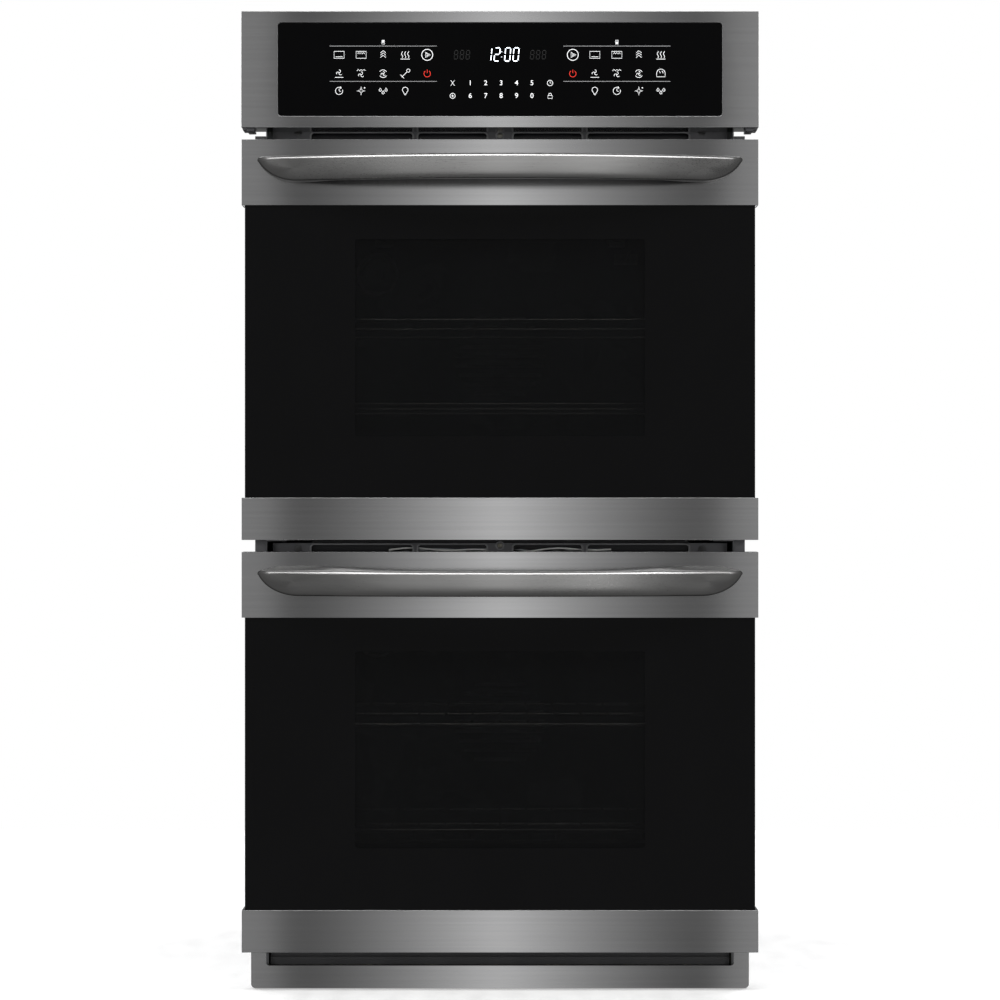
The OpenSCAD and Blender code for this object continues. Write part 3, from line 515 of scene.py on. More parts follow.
# Finish of each of the record's material slots
FINISHES: dict[str, Finish] = {
    "black_steel": BrushedSteel("black_steel", DARK_STEEL),
    "handle_steel": BrushedSteel("handle_steel", (0.36, 0.357, 0.353), roughness=0.3, anisotropy=0.5,
                                 grain=0.05),
    "galvanised": Galvanised("galvanised", (0.56, 0.57, 0.58)),
    "dark_paint": Paint("dark_paint", (0.085, 0.085, 0.09)),
    "enamel": Enamel("enamel", (0.028, 0.032, 0.046)),
    "glass_wool": Wool("glass_wool", (0.72, 0.64, 0.36)),
    "seal_rope": Rope("seal_rope", (0.10, 0.10, 0.105)),
    "element_sheath": Metal("element_sheath", (0.16, 0.15, 0.145), 0.5, 0.3, tarnish=(0.12, 0.085, 0.07)),
    "motor_steel": Metal("motor_steel", (0.42, 0.44, 0.46), 0.45, 0.2),
    "lamp_ceramic": Moulded("lamp_ceramic", (0.82, 0.80, 0.75), 0.35, 500.0),
    "lamp_glass": Glazing("lamp_glass", (0.75, 0.82, 0.85), cover=0.16, gloss=1.0),
    "probe_steel": Metal("probe_steel", (0.52, 0.51, 0.5), 0.3, 0.2, tarnish=(0.4, 0.33, 0.25)),
    "touch_glass": Glazing("touch_glass", (0.001, 0.001, 0.0012), gloss=0.2, roughness=0.02),
    "housing_plastic": Moulded("housing_plastic", (0.03, 0.03, 0.033)),
    "circuit_board": Board("circuit_board", (0.02, 0.12, 0.05)),
    "display_black": Moulded("display_black", (0.01, 0.01, 0.012), 0.2),
    "screw_steel": Metal("screw_steel", (0.2, 0.2, 0.2), 0.4, 0.3, 900.0),
    "hinge_steel": Metal("hinge_steel", (0.55, 0.54, 0.5), 0.35, 0.2, tarnish=(0.5, 0.47, 0.36)),
    "terminal_plastic": Moulded("terminal_plastic", (0.78, 0.74, 0.64), 0.4),
    "zinc": Metal("zinc", (0.58, 0.58, 0.6), 0.42, 0.18),
    "fan_steel": Metal("fan_steel", (0.56, 0.55, 0.54), 0.32, 0.2),
    "blower_plastic": Moulded("blower_plastic", (0.035, 0.035, 0.037), 0.4),
    "rack_chrome": Metal("rack_chrome", (0.68, 0.67, 0.65), 0.2, 0.14, 900.0, tarnish=(0.5, 0.44, 0.36)),
    "plunger_plastic": Moulded("plunger_plastic", (0.85, 0.85, 0.83), 0.4),
    "door_glass": Glazing("door_glass", (0.0016, 0.0016, 0.0019), gloss=0.42),
    "pane_glass": Glazing("pane_glass", (0.02, 0.024, 0.024), cover=0.14, gloss=0.8),
}
WINDOW_GLASS = Glazing("window_glass", (0.002, 0.002, 0.0024), cover=0.36, gloss=0.6)
# Edge colours brighter than the steel and zinc sheets: painted highlights along their rounded edges.
STEEL_EDGE_HIGHLIGHT = EdgeHighlight("steel_edge_highlight", (0.42, 0.42, 0.425))
ZINC_EDGE_HIGHLIGHT = EdgeHighlight("zinc_edge_highlight", (0.6, 0.61, 0.62), 0.4)
# The glow of the printed marks and rules is painted light; the ink is no lamp.
WHITE_PRINT = Print("white_print", (0.93, 0.94, 0.95), 0.75)
RED_PRINT = Print("red_print", (0.8, 0.035, 0.02), 0.9)
RULE_PRINT = Print("rule_print", (0.5, 0.5, 0.51), 0.12)
LIT_SEGMENT = Print("lit_segment", (0.86, 0.93, 1.0), 2.2)
DARK_SEGMENT = Print("dark_segment", (0.006, 0.006, 0.0065))
WIRE_COATS = (
    Moulded("wire_coat_white", (0.7, 0.7, 0.68), 0.4),
    Moulded("wire_coat_black", (0.03, 0.03, 0.03), 0.4),
    Moulded("wire_coat_grey", (0.35, 0.36, 0.37), 0.4),
)
FILAMENT = Metal("filament", (0.6, 0.57, 0.5), 0.4)
# Lighter grey than the vent panels' paint: a painted highlight on the slot rims.
RIM_HIGHLIGHT_PAINT = Paint("rim_highlight_paint", (0.17, 0.17, 0.175), 0.35)


# ---------- Shapes ----------


def rounded(corners: list[Vector], radius: float, steps: int = 5, closed: bool = False) -> list[Vector]:
    """Rounds the corners of a path.

    Args:
        corners: Points of the path.
        radius: How far before and after a corner the bend runs.
        steps: Pieces in each bend.
        closed: Whether the last point joins the first.

    Returns:
        The points of the rounded path.
    """
    path = []
    for n, corner in enumerate(corners):
        if not closed and n in (0, len(corners) - 1):
            path.append(corner)
            continue
        before, after = corners[n - 1] - corner, corners[(n + 1) % len(corners)] - corner
        start = corner + before.normalized() * min(radius, before.length / 2)
        end = corner + after.normalized() * min(radius, after.length / 2)
        for k in range(steps + 1):
            t = k / steps
            path.append(start * (1 - t) ** 2 + corner * 2 * t * (1 - t) + end * t * t)
    return path


def oblong(w: float, h: float, r: float, centre: Flat = (0.0, 0.0), steps: int = 6) -> list[Flat]:
    """Outline of a rectangle with round corners.

    Args:
        w: Width.
        h: Height.
        r: Radius of the corners.
        centre: Middle of the rectangle.
        steps: Pieces in each corner.

    Returns:
        Its points, anticlockwise.
    """
    points = []
    for turn, (side, up) in enumerate(((1, 1), (-1, 1), (-1, -1), (1, -1))):
        for k in range(steps + 1):
            angle = math.radians(90 * (turn + k / steps))
            x = side * (w / 2 - r) + r * math.cos(angle)
            z = up * (h / 2 - r) + r * math.sin(angle)
            points.append((centre[0] + x, centre[1] + z))
    return points


def sweep(bm: bmesh.types.BMesh, path: list[Vector], radius: float, sides: int = 10,
          closed: bool = False) -> None:
    """Runs a round section along a path.

    Args:
        bm: Mesh that takes the tube.
        path: Points of the middle line.
        radius: Radius of the tube.
        sides: Points round it.
        closed: Whether the path is a loop.
    """
    rings, across = [], None
    count = len(path)
    for n, point in enumerate(path):
        before = path[n - 1] if n or closed else point
        after = path[(n + 1) % count] if n < count - 1 or closed else point
        along = (after - before).normalized()
        if across is None:
            guide = Vector((0, 0, 1)) if abs(along.z) < 0.9 else Vector((1, 0, 0))
            across = guide.cross(along).normalized()
        across = (across - along * across.dot(along)).normalized()
        upward = along.cross(across)
        turns = (2 * math.pi * k / sides for k in range(sides))
        rings.append([bm.verts.new(point + radius * (math.cos(a) * across + math.sin(a) * upward))
                      for a in turns])
    for n in range(count if closed else count - 1):
        first, second = rings[n], rings[(n + 1) % count]
        for k in range(sides):
            bm.faces.new((first[k], first[(k + 1) % sides], second[(k + 1) % sides], second[k]))
    if not closed:
        bm.faces.new(rings[0][::-1])
        bm.faces.new(rings[-1])


def turned(bm: bmesh.types.BMesh, outline: list[Flat], centre: Vector, axis: Vector, sides: int = 24) -> None:
    """Turns an outline round an axis.

    Args:
        bm: Mesh that takes the shape.
        outline: Pairs of radius and height, from the foot to the crown.
        centre: Where the axis starts.
        axis: Its direction.
        sides: Points round it.
    """
    lift = axis.normalized()
    across = lift.orthogonal().normalized()
    upward = lift.cross(across)
    rings = []
    for radius, height in outline:
        turns = (2 * math.pi * k / sides for k in range(sides))
        foot = centre + lift * height
        rings.append([bm.verts.new(foot + radius * (math.cos(a) * across + math.sin(a) * upward))
                      for a in turns])
    for first, second in zip(rings, rings[1:]):
        for k in range(sides):
            bm.faces.new((first[k], first[(k + 1) % sides], second[(k + 1) % sides], second[k]))
    bm.faces.new(rings[0][::-1])
    bm.faces.new(rings[-1])


def screw_head(bm: bmesh.types.BMesh, centre: Vector, axis: Vector, radius: float = 4.0 * MM) -> None:
    """Pan head with a round driver recess.

    Args:
        bm: Mesh that takes the head.
        centre: Where it stands.
        axis: The way that it faces.
        radius: Its radius.
    """
    height = radius * 0.45
    outline = [(radius, 0.0), (radius, height * 0.45), (radius * 0.8, height * 0.9), (radius * 0.5, height),
               (radius * 0.42, height * 0.95), (radius * 0.34, height * 0.25)]
    turned(bm, outline, centre, axis, 20)


def prism(bm: bmesh.types.BMesh, outlines: list[list[Flat]], y0: float, y1: float) -> None:
    """Plate that faces front, with an outline and holes.

    Args:
        bm: Mesh that takes the plate.
        outlines: Its outline in X and Z, then its holes.
        y0: Its front plane.
        y1: Its back plane.
    """
    edges = []
    for outline in outlines:
        ring = [bm.verts.new((x, y0, z)) for x, z in outline]
        edges += [bm.edges.new((a, b)) for a, b in zip(ring, ring[1:] + ring[:1])]
    filled = bmesh.ops.triangle_fill(bm, use_beauty=True, use_dissolve=False, edges=edges)
    faces = [g for g in filled["geom"] if isinstance(g, bmesh.types.BMFace)]
    grown = bmesh.ops.extrude_face_region(bm, geom=faces, use_keep_orig=True)
    bmesh.ops.translate(bm, vec=(0, y1 - y0, 0),
                        verts=[g for g in grown["geom"] if isinstance(g, bmesh.types.BMVert)])
    bmesh.ops.recalc_face_normals(bm, faces=bm.faces)


def press(bm: bmesh.types.BMesh, axis: int, plane: float, factor: float) -> None:
    """Flattens a mesh towards a plane, to factor times its depth along that axis."""
    for vert in bm.verts:
        vert.co[axis] = plane + (vert.co[axis] - plane) * factor


def bevel(bm: bmesh.types.BMesh, width: float, least: float = 30.0, segments: int = 2) -> None:
    """Rounds the sharp edges of a mesh and marks the new faces as its second material.

    Args:
        bm: The mesh.
        width: Width of the rounding.
        least: Least angle between two faces, in degrees, that counts as sharp.
        segments: Faces across each rounding.
    """
    limit = math.radians(least)
    sharp = [e for e in bm.edges if len(e.link_faces) == 2 and e.calc_face_angle(0.0) > limit]
    made = bmesh.ops.bevel(bm, geom=sharp, offset=width, offset_type="OFFSET", segments=segments, profile=0.5,
                           affect="EDGES", clamp_overlap=True)
    for face in made["faces"]:
        face.material_index = 1


# ---------- Workshop ----------


class Workshop:
    """Makes pieces, dresses them and puts them on their bodies."""

    def __init__(self) -> None:
        """Starts with the frame's nodes and no materials."""
        self.nodes: dict[str, bpy.types.Object] = frame["nodes"]
        self.body = {n: b for b, members in frame["record"]["behaviour"]["bodies"].items() for n in members}
        self.slot = {p["node"]: p["material_slot"] for p in frame["record"]["subparts"]}
        self.materials: dict[str, bpy.types.Material] = {}
        self.steel = bpy.data.collections.new("steel_receivers")
        self.recessed = bpy.data.collections.new("recessed_receivers")
        self.wires = bpy.data.collections.new("wire_receivers")

    def material(self, finish: Finish) -> bpy.types.Material:
        """The material of a finish, made once."""
        if finish.name not in self.materials:
            self.materials[finish.name] = finish.build()
        return self.materials[finish.name]

    def dress(self, *names: str) -> None:
        """Gives CAD nodes the finish of their own slot."""
        for name in names:
            node = self.nodes[name]
            node.data.materials.clear()
            node.data.materials.append(self.material(FINISHES[self.slot[name]]))
            LOG.info("%s keeps its shape, in %s", name, self.slot[name])

    def piece(self, name: str, bm: bmesh.types.BMesh, body: str, finish: Finish, slot: str | None = None,
              stands_for: tuple[str, ...] = (), edge: Finish | None = None,
              smooth: float = 40.0) -> bpy.types.Object:
        """Turns a finished mesh into a piece that rides on a body.

        Args:
            name: Name of the piece.
            bm: Its mesh, which is used up.
            body: Body that it rides on.
            finish: Its finish.
            slot: Slot of the record that it belongs to, where it has one.
            stands_for: CAD nodes that it replaces.
            edge: Finish of its rounded edges.
            smooth: Greatest angle, in degrees, that is shaded as one surface.

        Returns:
            The new object.
        """
        mesh = bpy.data.meshes.new(name)
        bm.to_mesh(mesh)
        bm.free()
        for polygon in mesh.polygons:
            polygon.use_smooth = True
        mesh.set_sharp_from_angle(angle=math.radians(smooth))
        mesh.materials.append(self.material(finish))
        if edge:
            mesh.materials.append(self.material(edge))
        made = bpy.data.objects.new(name, mesh)
        bpy.context.scene.collection.objects.link(made)
        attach(made, body)
        if stands_for:
            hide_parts(*stands_for)
        if isinstance(finish, BrushedSteel):
            self.steel.objects.link(made)
        if slot == "rack_chrome":
            self.wires.objects.link(made)
        if isinstance(finish, (Paint, Moulded)):
            self.recessed.objects.link(made)
        LOG.info("%s rides on %s, %d faces", name, body, len(mesh.polygons))
        return made

    def soften(self, name: str, width: float, edge: Finish | None = None) -> bpy.types.Object:
        """Replaces a CAD node by the same shape with rounded edges.

        Args:
            name: The node.
            width: Width of the rounding.
            edge: Finish of the rounded edges, where it differs.

        Returns:
            The new object.
        """
        bm = bmesh.new()
        bm.from_mesh(self.nodes[name].data)
        bmesh.ops.remove_doubles(bm, verts=bm.verts, dist=0.002 * MM)
        bmesh.ops.dissolve_limit(bm, angle_limit=math.radians(0.4), verts=bm.verts, edges=bm.edges)
        for face in bm.faces:
            face.material_index = 0
        bevel(bm, width)
        if edge is None:
            for face in bm.faces:
                face.material_index = 0
        slot = self.slot[name]
        made = self.piece(f"{name}_soft", bm, self.body[name], FINISHES[slot], slot, (name,), edge)
        weighting = made.modifiers.new("even_faces", "WEIGHTED_NORMAL")
        weighting.keep_sharp = True
        return made


# ---------- Control panel ----------


def arc(cx: float, cz: float, r: float, start: float, end: float, steps: int = 14) -> list[Flat]:
    """Points of an arc between two angles in degrees."""
    turns = (math.radians(start + (end - start) * k / steps) for k in range(steps + 1))
    return [(cx + r * math.cos(a), cz + r * math.sin(a)) for a in turns]


def fan_mark(cz: float, r: float) -> list[list[Flat]]:
    """Draws a three-bladed fan.

    Args:
        cz: Height of its hub.
        r: Its radius.

    Returns:
        One stroke for each blade.
    """
    strokes = []
    for start in (90, 210, 330):
        hub = math.radians(start)
        x, z = r * 0.5 * math.cos(hub), cz + r * 0.5 * math.sin(hub)
        strokes.append(arc(x, z, r * 0.5, start + 180, start + 360, 8))
    return strokes


def zigzag(x0: float, x1: float, z: float, h: float, count: int) -> list[Flat]:
    """Points of a zigzag of that many strokes."""
    return [(x0 + (x1 - x0) * k / count, z + (h if k % 2 else 0.0)) for k in range(count + 1)]


def ripple(x: float, z0: float, z1: float, depth: float = 0.16) -> list[Flat]:
    """Points of an upright wavy line."""
    return [(x + depth * math.sin(2 * math.pi * k / 10), z0 + (z1 - z0) * k / 12) for k in range(13)]


BOX = [(-1.3, -0.9), (1.3, -0.9), (1.3, 0.9), (-1.3, 0.9), (-1.3, -0.9)]


class Glyph(Enum):
    """Marks on the touch glass, as strokes in a box from -1 to 1."""

    BAKE = (BOX, [(-0.9, -0.5), (0.9, -0.5)])
    BROIL = (BOX, zigzag(-0.9, 0.9, 0.25, 0.35, 6))
    PREHEAT = ([(-0.7, -0.7), (0, -0.1), (0.7, -0.7)], [(-0.7, -0.1), (0, 0.5), (0.7, -0.1)],
               [(-0.7, 0.5), (0, 1.1), (0.7, 0.5)])
    WARM = tuple(ripple(x, -0.8, 0.9) for x in (-0.8, 0.0, 0.8)) + ([(-1.2, -1.1), (1.2, -1.1)],)
    FAN_BAKE = (*fan_mark(0.25, 0.75), [(-1.1, -0.95), (1.1, -0.95)])
    FAN_ROAST = (*fan_mark(-0.25, 0.75), zigzag(-1.1, 1.1, 0.75, 0.35, 6))
    FAN_TURN = (*fan_mark(0.0, 0.6), arc(0, 0, 1.0, 30, 150), arc(0, 0, 1.0, 210, 330))
    PROBE = ([(-0.9, -0.9), (0.5, 0.5)], arc(0.8, 0.8, 0.42, 0, 360), [(-1.2, -0.3), (-0.3, -1.2)])
    PROOF = ([(-1.1, -0.8), (-1.1, 0.1), *arc(0, 0.1, 1.1, 180, 0), (1.1, -0.8), (-1.1, -0.8)],
             [(-0.4, 0.7), (-0.1, 0.1)], [(0.3, 0.75), (0.6, 0.15)])
    DELAY = (arc(0, 0, 0.95, 60, 380), [(0, 0.55), (0, 0), (0.45, -0.2)],
             [(0.3, 1.15), (0.6, 0.75), (0.15, 0.55)])
    CLEAN = ([(0, 1.1), (0.22, 0.22), (1.1, 0), (0.22, -0.22), (0, -1.1), (-0.22, -0.22), (-1.1, 0),
              (-0.22, 0.22), (0, 1.1)], [(0.9, 1.0), (0.9, 0.6)], [(0.7, 0.8), (1.1, 0.8)])
    STEAM = tuple([(x, z + 0.55), *arc(x, z, 0.3, 20, -200, 10), (x, z + 0.55)]
                  for x, z in ((-0.75, 0.2), (0.0, -0.5), (0.75, 0.2)))
    LAMP = ([*arc(0, 0.25, 0.72, -50, 230), (-0.28, -0.75), (0.28, -0.75), (0.46, -0.3)],
            [(-0.24, -1.0), (0.24, -1.0)])
    START = (arc(0, 0, 1.15, 0, 360, 24), [(-0.35, -0.55), (0.65, 0), (-0.35, 0.55), (-0.35, -0.55)],
             [(-0.2, -0.25), (0.3, 0), (-0.2, 0.25)])
    OFF = (arc(0, 0, 0.85, 125, 415, 20), [(0, 1.05), (0, 0.2)])
    TIMER = ([(-0.7, 1), (0.7, 1), (-0.7, -1), (0.7, -1), (-0.7, 1)],)
    ADD = (arc(0, 0, 0.95, 0, 360, 20), [(-0.5, 0), (0.5, 0)], [(0, -0.5), (0, 0.5)])
    CLOCK = (arc(0, 0, 1.0, 0, 360, 22), [(0, 0.6), (0, 0), (0.5, 0)])
    LOCK = ([(-0.8, -0.95), (0.8, -0.95), (0.8, 0.15), (-0.8, 0.15), (-0.8, -0.95)],
            [(-0.48, 0.15), *arc(0, 0.5, 0.48, 180, 0, 10), (0.48, 0.15)])
    OVENS = ([(-0.7, 0.15), (0.7, 0.15), (0.7, 0.95), (-0.7, 0.95), (-0.7, 0.15)],
             [(-0.7, -0.95), (0.7, -0.95), (0.7, -0.15), (-0.7, -0.15), (-0.7, -0.95)])


# Ends of the seven strokes of a digit one wide and two high, and the strokes that each digit lights
SEGMENTS = {
    "a": ((0, 2), (1, 2)), "b": ((1, 2), (1, 1)), "c": ((1, 1), (1, 0)), "d": ((0, 0), (1, 0)),
    "e": ((0, 1), (0, 0)), "f": ((0, 2), (0, 1)), "g": ((0, 1), (1, 1)),
}
LIT = {"0": "abcdef", "1": "bc", "2": "abged", "8": "abcdefg"}


@dataclass
class ControlPanel:
    """Steel frame, touch glass and the marks on it."""

    shop: Workshop
    # Columns and rows of each oven's keys, from the panel's middle
    first_column: float = 96.5 * MM
    column_pitch: float = 29.2 * MM
    rows: tuple[float, ...] = (19.2 * MM, -5.8 * MM, -28.6 * MM)
    rules: tuple[float, ...] = (30.8 * MM, -16.0 * MM)
    glyph_size: float = 5.1 * MM
    stroke: float = 0.33 * MM
    key_pitch: float = 20.45 * MM
    key_rows: tuple[float, ...] = (-18.2 * MM, -35.2 * MM)
    digit_h: float = 17.5 * MM
    proud: float = 0.06 * MM

    def __post_init__(self) -> None:
        """Takes the glass's plane and middle from the CAD."""
        low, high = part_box("control_glass")
        self.front = low.y
        self.mid_z = (low.z + high.z) / 2

    def ink(self, name: str, strokes: Strokes, finish: Finish) -> None:
        """Prints strokes on the glass.

        Args:
            name: Name of the piece.
            strokes: Pairs of a path in X and Z, and half the stroke's width.
            finish: Ink of the strokes.
        """
        bm = bmesh.new()
        for points, half in strokes:
            path = [Vector((x, self.front, z)) for x, z in points]
            closed = (path[0] - path[-1]).length < 0.01 * MM
            sweep(bm, path[:-1] if closed else path, half, 8, closed)
        press(bm, 1, self.front, 0.12)
        self.shop.piece(name, bm, CHASSIS, finish)

    def glyph(self, mark: Glyph, x: float, z: float, size: float, half: float) -> Strokes:
        """Strokes of one mark, centred at x and z from the panel's middle."""
        return [([(x + px * size, self.mid_z + z + pz * size) for px, pz in line], half)
                for line in mark.value]

    def legends(self) -> None:
        """Prints the keys of both ovens, the rules between them and the marks beside the numerals."""
        left = (
            (Glyph.START, Glyph.WARM, Glyph.PREHEAT, Glyph.BROIL, Glyph.BAKE),
            (Glyph.OFF, Glyph.PROBE, Glyph.FAN_TURN, Glyph.FAN_ROAST, Glyph.FAN_BAKE),
            (None, Glyph.LAMP, Glyph.STEAM, Glyph.CLEAN, Glyph.DELAY),
        )
        right = (
            (Glyph.START, Glyph.BAKE, Glyph.BROIL, Glyph.PREHEAT, Glyph.WARM),
            (Glyph.OFF, Glyph.FAN_BAKE, Glyph.FAN_ROAST, Glyph.FAN_TURN, Glyph.PROOF),
            (None, Glyph.LAMP, Glyph.DELAY, Glyph.CLEAN, Glyph.STEAM),
        )
        white, red, rule = [], [], []
        for side, grid in ((-1, left), (1, right)):
            for row, marks in zip(self.rows, grid):
                for n, mark in enumerate(marks):
                    if mark is None:
                        continue
                    x = side * (self.first_column + n * self.column_pitch)
                    large = 1.25 if mark is Glyph.START else 1.0
                    strokes = self.glyph(mark, x, row, self.glyph_size * large, self.stroke * large)
                    (red if mark is Glyph.OFF else white).extend(strokes)
            middle = side * (self.first_column + 2 * self.column_pitch)
            for height in self.rules:
                z = self.mid_z + height
                rule.append(([(middle - 71.0 * MM, z), (middle + 71.0 * MM, z)], 0.32 * MM))
            white += self.glyph(Glyph.OVENS, middle, 36.0 * MM, 2.6 * MM, 0.3 * MM)
            shown = 0.55 if side < 0 else -0.55
            bar = [(middle - 1.0 * MM, self.mid_z + 36.0 * MM + shown * 2.6 * MM),
                   (middle + 1.0 * MM, self.mid_z + 36.0 * MM + shown * 2.6 * MM)]
            white.append((bar, 0.75 * MM))
        small = 3.6 * MM
        for row, (start, end) in zip(self.key_rows, ((Glyph.TIMER, Glyph.CLOCK), (Glyph.ADD, Glyph.LOCK))):
            white += self.glyph(start, -62.8 * MM, row, small, self.stroke)
            white += self.glyph(end, 66.4 * MM, row, small, self.stroke)
        self.ink("key_marks", white, WHITE_PRINT)
        self.ink("off_marks", red, RED_PRINT)
        self.ink("key_rules", rule, RULE_PRINT)

    def numerals(self) -> None:
        """Prints the ten number keys."""
        bm = bmesh.new()
        for row, line in zip(self.key_rows, ("12345", "67890")):
            for n, digit in enumerate(line):
                curve = bpy.data.curves.new("numeral", "FONT")
                curve.body = digit
                curve.size = 9.2 * MM
                curve.offset = 0.04 * MM
                curve.extrude = self.proud / 2
                curve.align_x, curve.align_y = "CENTER", "CENTER"
                text = bpy.data.objects.new("numeral", curve)
                bpy.context.scene.collection.objects.link(text)
                drawn = bpy.data.meshes.new_from_object(text)
                x = (n - 2) * self.key_pitch + 1.5 * MM
                upright = Matrix.Rotation(math.pi / 2, 4, "X")
                drawn.transform(Matrix.Translation((x, self.front, self.mid_z + row)) @ upright)
                bm.from_mesh(drawn)
                bpy.data.objects.remove(text)
                bpy.data.meshes.remove(drawn)
        bmesh.ops.remove_doubles(bm, verts=bm.verts, dist=0.001 * MM)
        self.shop.piece("number_keys", bm, CHASSIS, WHITE_PRINT)

    def digit(self, value: str, x: float, z: float, height: float, half: float) -> Strokes:
        """Draws one seven-part digit.

        Args:
            value: The digit.
            x: Its left edge.
            z: Its foot.
            height: Its height.
            half: Half a stroke's width.

        Returns:
            The digit's strokes.
        """
        size, lean, gap = height / 2, 0.09, 0.12
        strokes = []
        for key in LIT[value]:
            (ax, az), (bx, bz) = SEGMENTS[key]
            dx, dz = (bx - ax) * gap, (bz - az) * gap
            ends = ((ax + dx, az + dz), (bx - dx, bz - dz))
            strokes.append(([(x + size * (px * 0.78 + pz * lean), z + size * pz) for px, pz in ends], half))
        return strokes

    def display(self) -> None:
        """Shows the time in lit segments, between two unlit counters."""
        base = self.mid_z + 11.0 * MM
        lit: Strokes = []
        for value, x in zip("1200", (-19.0 * MM, -8.0 * MM, 6.0 * MM, 17.0 * MM)):
            lit += self.digit(value, x, base, self.digit_h, 0.62 * MM)
        for z in (5.2 * MM, 12.0 * MM):
            lit.append(([(2.2 * MM, base + z), (2.3 * MM, base + z + 0.5 * MM)], 0.7 * MM))
        self.ink("clock_digits", lit, LIT_SEGMENT)
        unlit: Strokes = []
        for start in (-61.0 * MM, 40.0 * MM):
            for n in range(3):
                unlit += self.digit("8", start + n * 7.8 * MM, base + 2.5 * MM, 11.4 * MM, 0.45 * MM)
        self.ink("unlit_digits", unlit, DARK_SEGMENT)

    def end_clips(self) -> None:
        """Dark stepped clips under the ends of the steel frame."""
        low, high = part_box("control_frame")
        depth = 36.0 * MM
        bm = bmesh.new()
        for side in (-1, 1):
            inner, outer = side * (high.x - 17.0 * MM), side * (high.x - 1.5 * MM)
            step = outer - side * 6.0 * MM
            shoulder, foot = low.z - 3.0 * MM, low.z - 5.0 * MM
            outline = [(inner, low.z), (outer, low.z), (outer, shoulder), (step, shoulder), (step, foot),
                       (inner, foot)]
            prism(bm, [outline], low.y + 2.0 * MM, low.y + depth)
        bevel(bm, 0.4 * MM)
        for face in bm.faces:
            face.material_index = 0
        self.shop.piece("panel_end_clips", bm, CHASSIS, FINISHES["housing_plastic"])

    def build(self) -> None:
        """Makes the whole panel."""
        self.shop.soften("control_frame", 0.45 * MM, STEEL_EDGE_HIGHLIGHT)
        self.shop.soften("control_glass", 0.3 * MM)
        self.shop.dress("control_housing", "control_board", "display_module")
        self.legends()
        self.numerals()
        self.display()
        self.end_clips()


# ---------- Doors ----------


